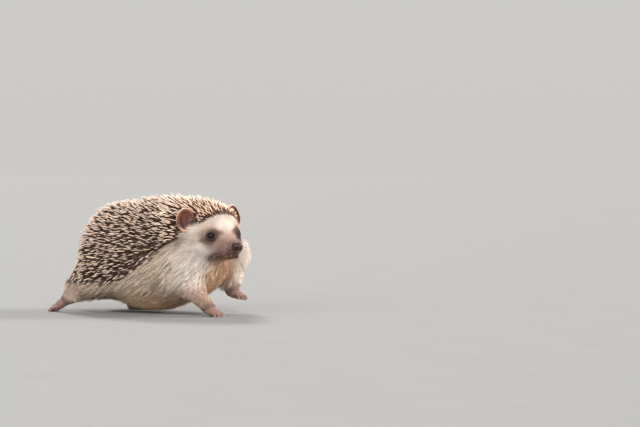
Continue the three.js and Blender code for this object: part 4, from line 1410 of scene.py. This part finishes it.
def lie_of_coat(spots, outward):
    """Shares of leg and head, how far down the leg and its way, and the heading of the fur."""
    legs, leg_way, share = leg_share(spots)
    on_head = head_share(spots)
    heading = mix(fur_heading(spots, outward), face_heading(spots), on_head[:, None])
    return legs, on_head, share, leg_way, heading


LOCK_GAP, LONG_STEPS, LONG_WIDTH = 3.0, 5, 0.38
SHORT_FUR = {"muzzle": 1.3, "brow": 2.8, "cheek": 5.2, "leg": 3.4, "foot": 1.3, "ear": 1.7}
LONG_COUNT = 31000
SHORT_COUNT = 43000


def tinted(spots, amount, lock=None):
    """The markings and painted light, with a little change from strand to strand and from lock to
    lock.
    """
    tone = rng.normal(1, amount, len(spots)) + amount * FINE_NOISE.at(spots)[:, 0]
    if lock is not None:
        tone += rng.normal(0, amount, len(spots))[lock]
    return np.clip(markings_and_painted_light(spots) * np.clip(tone, 0.6, 1.3)[:, None], 0, 1)


def strand_widths(wide, count, steps):
    line = np.interp(np.linspace(0, 1, steps + 1), [0, 0.5, 0.8, 1], [1, 0.9, 0.55, 0])
    return (wide * rng.uniform(0.8, 1.2, count))[:, None] * line


# Long fur: flank, belly, chest, ruff and cheeks.
spots, _ = rooted(
    LONG_COUNT,
    lambda p: furry(p)
    * np.maximum((1 - short_share(p)) * (1 + 0.8 * head_share(p)), 2.2 * before_ear(p))
    * ~at_ear(p)[0],
)
outward = GRID.out(spots)
x, y, z = spots.T
hx, hy, hz = moved(INTO_HEAD, spots).T
legs, on_head, share, leg_way, heading = lie_of_coat(spots, outward)
heading = unit(mix(heading, leg_way, (legs * smooth(share, 0.3, 0.75))[:, None]))
heading += 0.06 * WIDE_NOISE.at(spots) + 0.03 * FINE_NOISE.at(spots)
heading += rng.normal(0, 0.05, heading.shape)
belly = smooth(-outward[:, 2], 0.35, 0.8)
hair = mix(20.0, 13.0, belly)
hair = mix(hair, 14.0, smooth(x, 46, 62))
high = smooth(z, 44, 60) * np.where(y > 0, 1, 0.3)
ruff = smooth(x, 42, 58) * smooth(np.abs(y), 12, 26) * (1 - on_head)
hair *= mix(1, mix(0.8, 1.15, high), ruff)
to_spines = smooth(-spine_zone(spots), 0, 9)
hair *= mix(0.45, 1, np.maximum(to_spines, smooth(-x, -34, -20)))
hair *= mix(1, 0.55, smooth(spine_zone(spots), 0, 4))
hair = mix(hair, mix(5.0, 13.5, smooth(hx, -10, -27)), on_head)
hair = mix(hair, 7.5, on_head * smooth(hz, -14, -19) * smooth(hx, -16, -6))
hair = mix(hair, mix(12.0, 4.6, smooth(share, 0.25, 0.7)), legs)
hair[chained(spots, LIMB_CHAINS["tail"], 2) < 3] = 2.6
ear_front = before_ear(spots)
hair = mix(hair, 7.5, smooth(ear_front, 0, 0.4))
toward_ear = unit(ways(-1, 0.75 * np.sign(hy), 0.3))
heading = mix(heading, turned(HEAD, toward_ear), smooth(ear_front, 0, 0.4)[:, None])
hair *= rng.uniform(0.72, 1.15, len(spots))
rise = mix(mix(34, 36, belly) + 14 * ruff * high, 24, on_head) + 18 * ear_front
rise = np.radians(mix(rise, 27, legs)) + rng.normal(0, 0.09, len(spots))
fall = np.radians(4 + 16 * belly * (1 - legs) + 22 * ruff * high)
fall += rng.normal(0, 0.06, len(spots))
paths = lying_paths(spots, heading, hair, rise, fall, LONG_STEPS)
loose = 1 - 0.7 * on_head * smooth(hx, -34, -14)
paths, lock = clumped(paths, LOCK_GAP, rng.uniform(0.15, 0.5, len(spots)) * loose)
across = np.cross(heading, outward)
widths = strand_widths(LONG_WIDTH, len(spots), LONG_STEPS)
coat = {"Coat": tinted(spots, 0.08, lock)}
grown("fur_long", paths, across, widths, FLAT_3, coat, "coat", "body_fur", ["underside"])

# Short fur: face, brow, lower legs, feet and the backs of the ears.
spots, outward = rooted(
    SHORT_COUNT,
    lambda p: furry(p) * short_share(p) * ~at_ear(p)[0] * (1 + 1.6 * head_share(p)),
)
hx, _, hz = moved(INTO_HEAD, spots).T
legs, on_head, _, leg_way, heading = lie_of_coat(spots, outward)
_, by_ear, ear_way = at_ear(spots)
foot = smooth(feet_distance(spots), 1.8, 0.4)
heading = mix(heading, leg_way, legs[:, None])
for leg in LEGS.values():
    kind = leg["foot"]
    here = (apart(spots, kind["at"]) < 26) & (foot > 0.5)
    heading[here] = placed(turns=[(kind["heading"], "Z"), (kind["dip"], "Y")])[:3, 0]
heading[by_ear] = ear_way[by_ear]
heading = unit(heading) + 0.1 * FINE_NOISE.at(spots) + rng.normal(0, 0.08, heading.shape)
hair = mix(SHORT_FUR["cheek"], SHORT_FUR["muzzle"], smooth(hx, -9, 5))
hair = mix(hair, SHORT_FUR["brow"], smooth(hz, 1, 8) * smooth(hx, 2, -6))
hair = mix(hair, 1.7, smooth(eye_distance(spots), 8, 5.5))
hair = mix(SHORT_FUR["leg"] + 0 * hair, hair, on_head)
hair = mix(hair, SHORT_FUR["foot"], foot * (1 - on_head))
hair[by_ear] = SHORT_FUR["ear"]
hair *= rng.uniform(0.75, 1.2, len(spots))
rise = np.radians(24 - 6 * foot) + rng.normal(0, 0.1, len(spots))
lie = across_to(heading, outward)
root = spots - outward * 0.3
way = lie * np.cos(rise)[:, None] + outward * np.sin(rise)[:, None]
middle = root + way * hair[:, None] * 0.5
tip = middle + (lie + 0.12 * outward) * hair[:, None] * 0.5
paths = np.stack([root, middle, tip], 1)
paths[:, :, 2] = np.maximum(paths[:, :, 2], LOWEST["short"])
across = np.cross(heading, outward)
widths = strand_widths(mix(0.3, 0.24, foot), len(spots), 2)
coat = {"Coat": tinted(spots, 0.08)}
grown("fur_short", paths, across, widths, FLAT_3, coat, "coat", "face_fur")

# --- claws and whiskers

CLAW_LENGTH, CLAW_WIDTH, CLAW_BEND = 4.0, 0.95, -0.375
claws = [claw for foot in FOOT_PIECES.values() for claw in foot["claws"]]
root, way, up, across = (
    np.array([claw[key] for claw in claws]) for key in ("root", "way", "up", "across")
)
share = np.linspace(0, 1, 8)
length, bend = np.full(len(claws), CLAW_LENGTH), np.full(len(claws), CLAW_BEND)
paths = bent(root, way, up, length, bend, share)
paths[:, :, 2] = np.maximum(paths[:, :, 2], LOWEST["claw"])
widths = np.tile(CLAW_WIDTH * np.sqrt(1 - share**2) * (1 - 0.2 * share), (len(claws), 1))
grown("claws", paths, across, widths, (8, 1.1), {}, "claw", "claw")

WHISKERS = 26
side = np.where(np.arange(WHISKERS) % 2, 1, -1)
start = np.stack(
    [
        rng.uniform(6, 15, WHISKERS),
        side * rng.uniform(4, 8, WHISKERS),
        rng.uniform(-15, -8, WHISKERS),
    ],
    1,
)
spots = np.array([ray_out(body, (2, 0, -11), tuple(s)) for s in start])
out = gradient(body, spots)
forward = turned(HEAD, [(0.55, 0, -0.12)])[0]
way = unit(out + forward + rng.normal(0, 0.12, out.shape))
length = rng.uniform(13, 24, WHISKERS)
share = np.linspace(0, 1, 9)
down, bend = np.tile([0, 0, -1.0], (WHISKERS, 1)), np.full(WHISKERS, 0.12)
paths = bent(spots - out * 0.6, way, down, length, bend, share)
widths = np.tile(0.16 * (1 - share**1.4), (WHISKERS, 1))
coat = {"Coat": np.tile(linear(176, 156, 138), (WHISKERS, 1))}
grown("whiskers", paths, np.cross(way, UP), widths, (4, 1.0), coat, "coat", "face_fur")

# --- floor, light and camera


def floor_material():
    material, tree, shader = principled("floor", 0.85, Specular_IOR_Level=0.2)
    grain = texture(tree, "Noise", Scale=18.0, Detail=3.0)
    stops = (0, (0.229, 0.234, 0.239)), (1, (0.253, 0.259, 0.265))
    coloured(tree, shader, colour_ramp(tree, grain, *stops))
    return material


FLOOR_RADIUS, FLOOR_SIDES = 40.0, 64
mesh = bpy.data.meshes.new("floor")
turns = [2 * math.pi * i / FLOOR_SIDES for i in range(FLOOR_SIDES)]
rim = [(FLOOR_RADIUS * math.cos(a), FLOOR_RADIUS * math.sin(a), 0) for a in turns]
mesh.from_pydata(rim, [], [tuple(range(FLOOR_SIDES))])
mesh.materials.append(floor_material())
floor = linked("floor", mesh)


def broad_light(name, come_from, spread, power, colour=(1, 1, 1)):
    """Even light from one side, as soft as its spread."""
    data = bpy.data.lights.new(name, "SUN")
    data.angle = math.radians(spread)
    data.energy = power
    data.color = colour
    light = linked(name, data)
    light.location = Vector(come_from)
    light.rotation_euler = Vector(come_from).to_track_quat("Z", "Y").to_euler()


broad_light("key", (0.8, -0.85, 0.85), 26, 1.9, (1, 0.97, 0.93))
broad_light("fill", (-0.4, -1.0, 0.3), 50, 1.7, (1, 0.98, 0.95))
broad_light("rim_left", (-0.7, 0.8, 1.0), 16, 2.5, (1, 0.94, 0.85))
broad_light("rim_right", (1.0, 0.7, 0.5), 16, 3.4, (1, 0.95, 0.88))

# A studio wall all round: as bright as the far floor at the horizon, brighter overhead.
WALL, CEILING = (0.60, 0.59, 0.565), (0.67, 0.66, 0.645)
world = bpy.data.worlds.new("studio")
bpy.context.scene.world = world
world.use_nodes = True
tree = world.node_tree
height = node(tree, "SeparateXYZ")
sky = colour_ramp(tree, (height, "Z"), (0.02, WALL), (0.5, CEILING))
wire(
    tree,
    (node(tree, "TexCoord"), "Generated", height, "Vector"),
    (*sky, tree.nodes["Background"], "Color"),
)
bpy.context.scene.view_settings.view_transform = "Standard"

CAMERA_TURN = math.radians(30)
WIDE, HIGH = 640, 427  # the photo's size in pixels
FOCAL = 2140  # pixels
AIM_AT = (155, 160)  # the pixel of the solids' own Z axis, at the camera's height
CAMERA_AWAY, CAMERA_HEIGHT = 2000, 142
eye_at = np.array(
    [math.sin(CAMERA_TURN) * CAMERA_AWAY, -math.cos(CAMERA_TURN) * CAMERA_AWAY, CAMERA_HEIGHT]
)
turn = math.atan2(-eye_at[1], -eye_at[0]) + math.atan((AIM_AT[0] - WIDE / 2) / FOCAL)
pitch = -math.atan((HIGH / 2 - AIM_AT[1]) / FOCAL)
look = (math.cos(turn) * math.cos(pitch), math.sin(turn) * math.cos(pitch), math.sin(pitch))
data = bpy.data.cameras.new("camera")
data.sensor_width = 36
data.lens = FOCAL / WIDE * data.sensor_width
data.clip_end = 20
camera = linked("camera", data)
camera.location = (eye_at + SHIFT) * MM
camera.rotation_euler = Vector(look).to_track_quat("-Z", "Y").to_euler()
bpy.context.scene.camera = camera
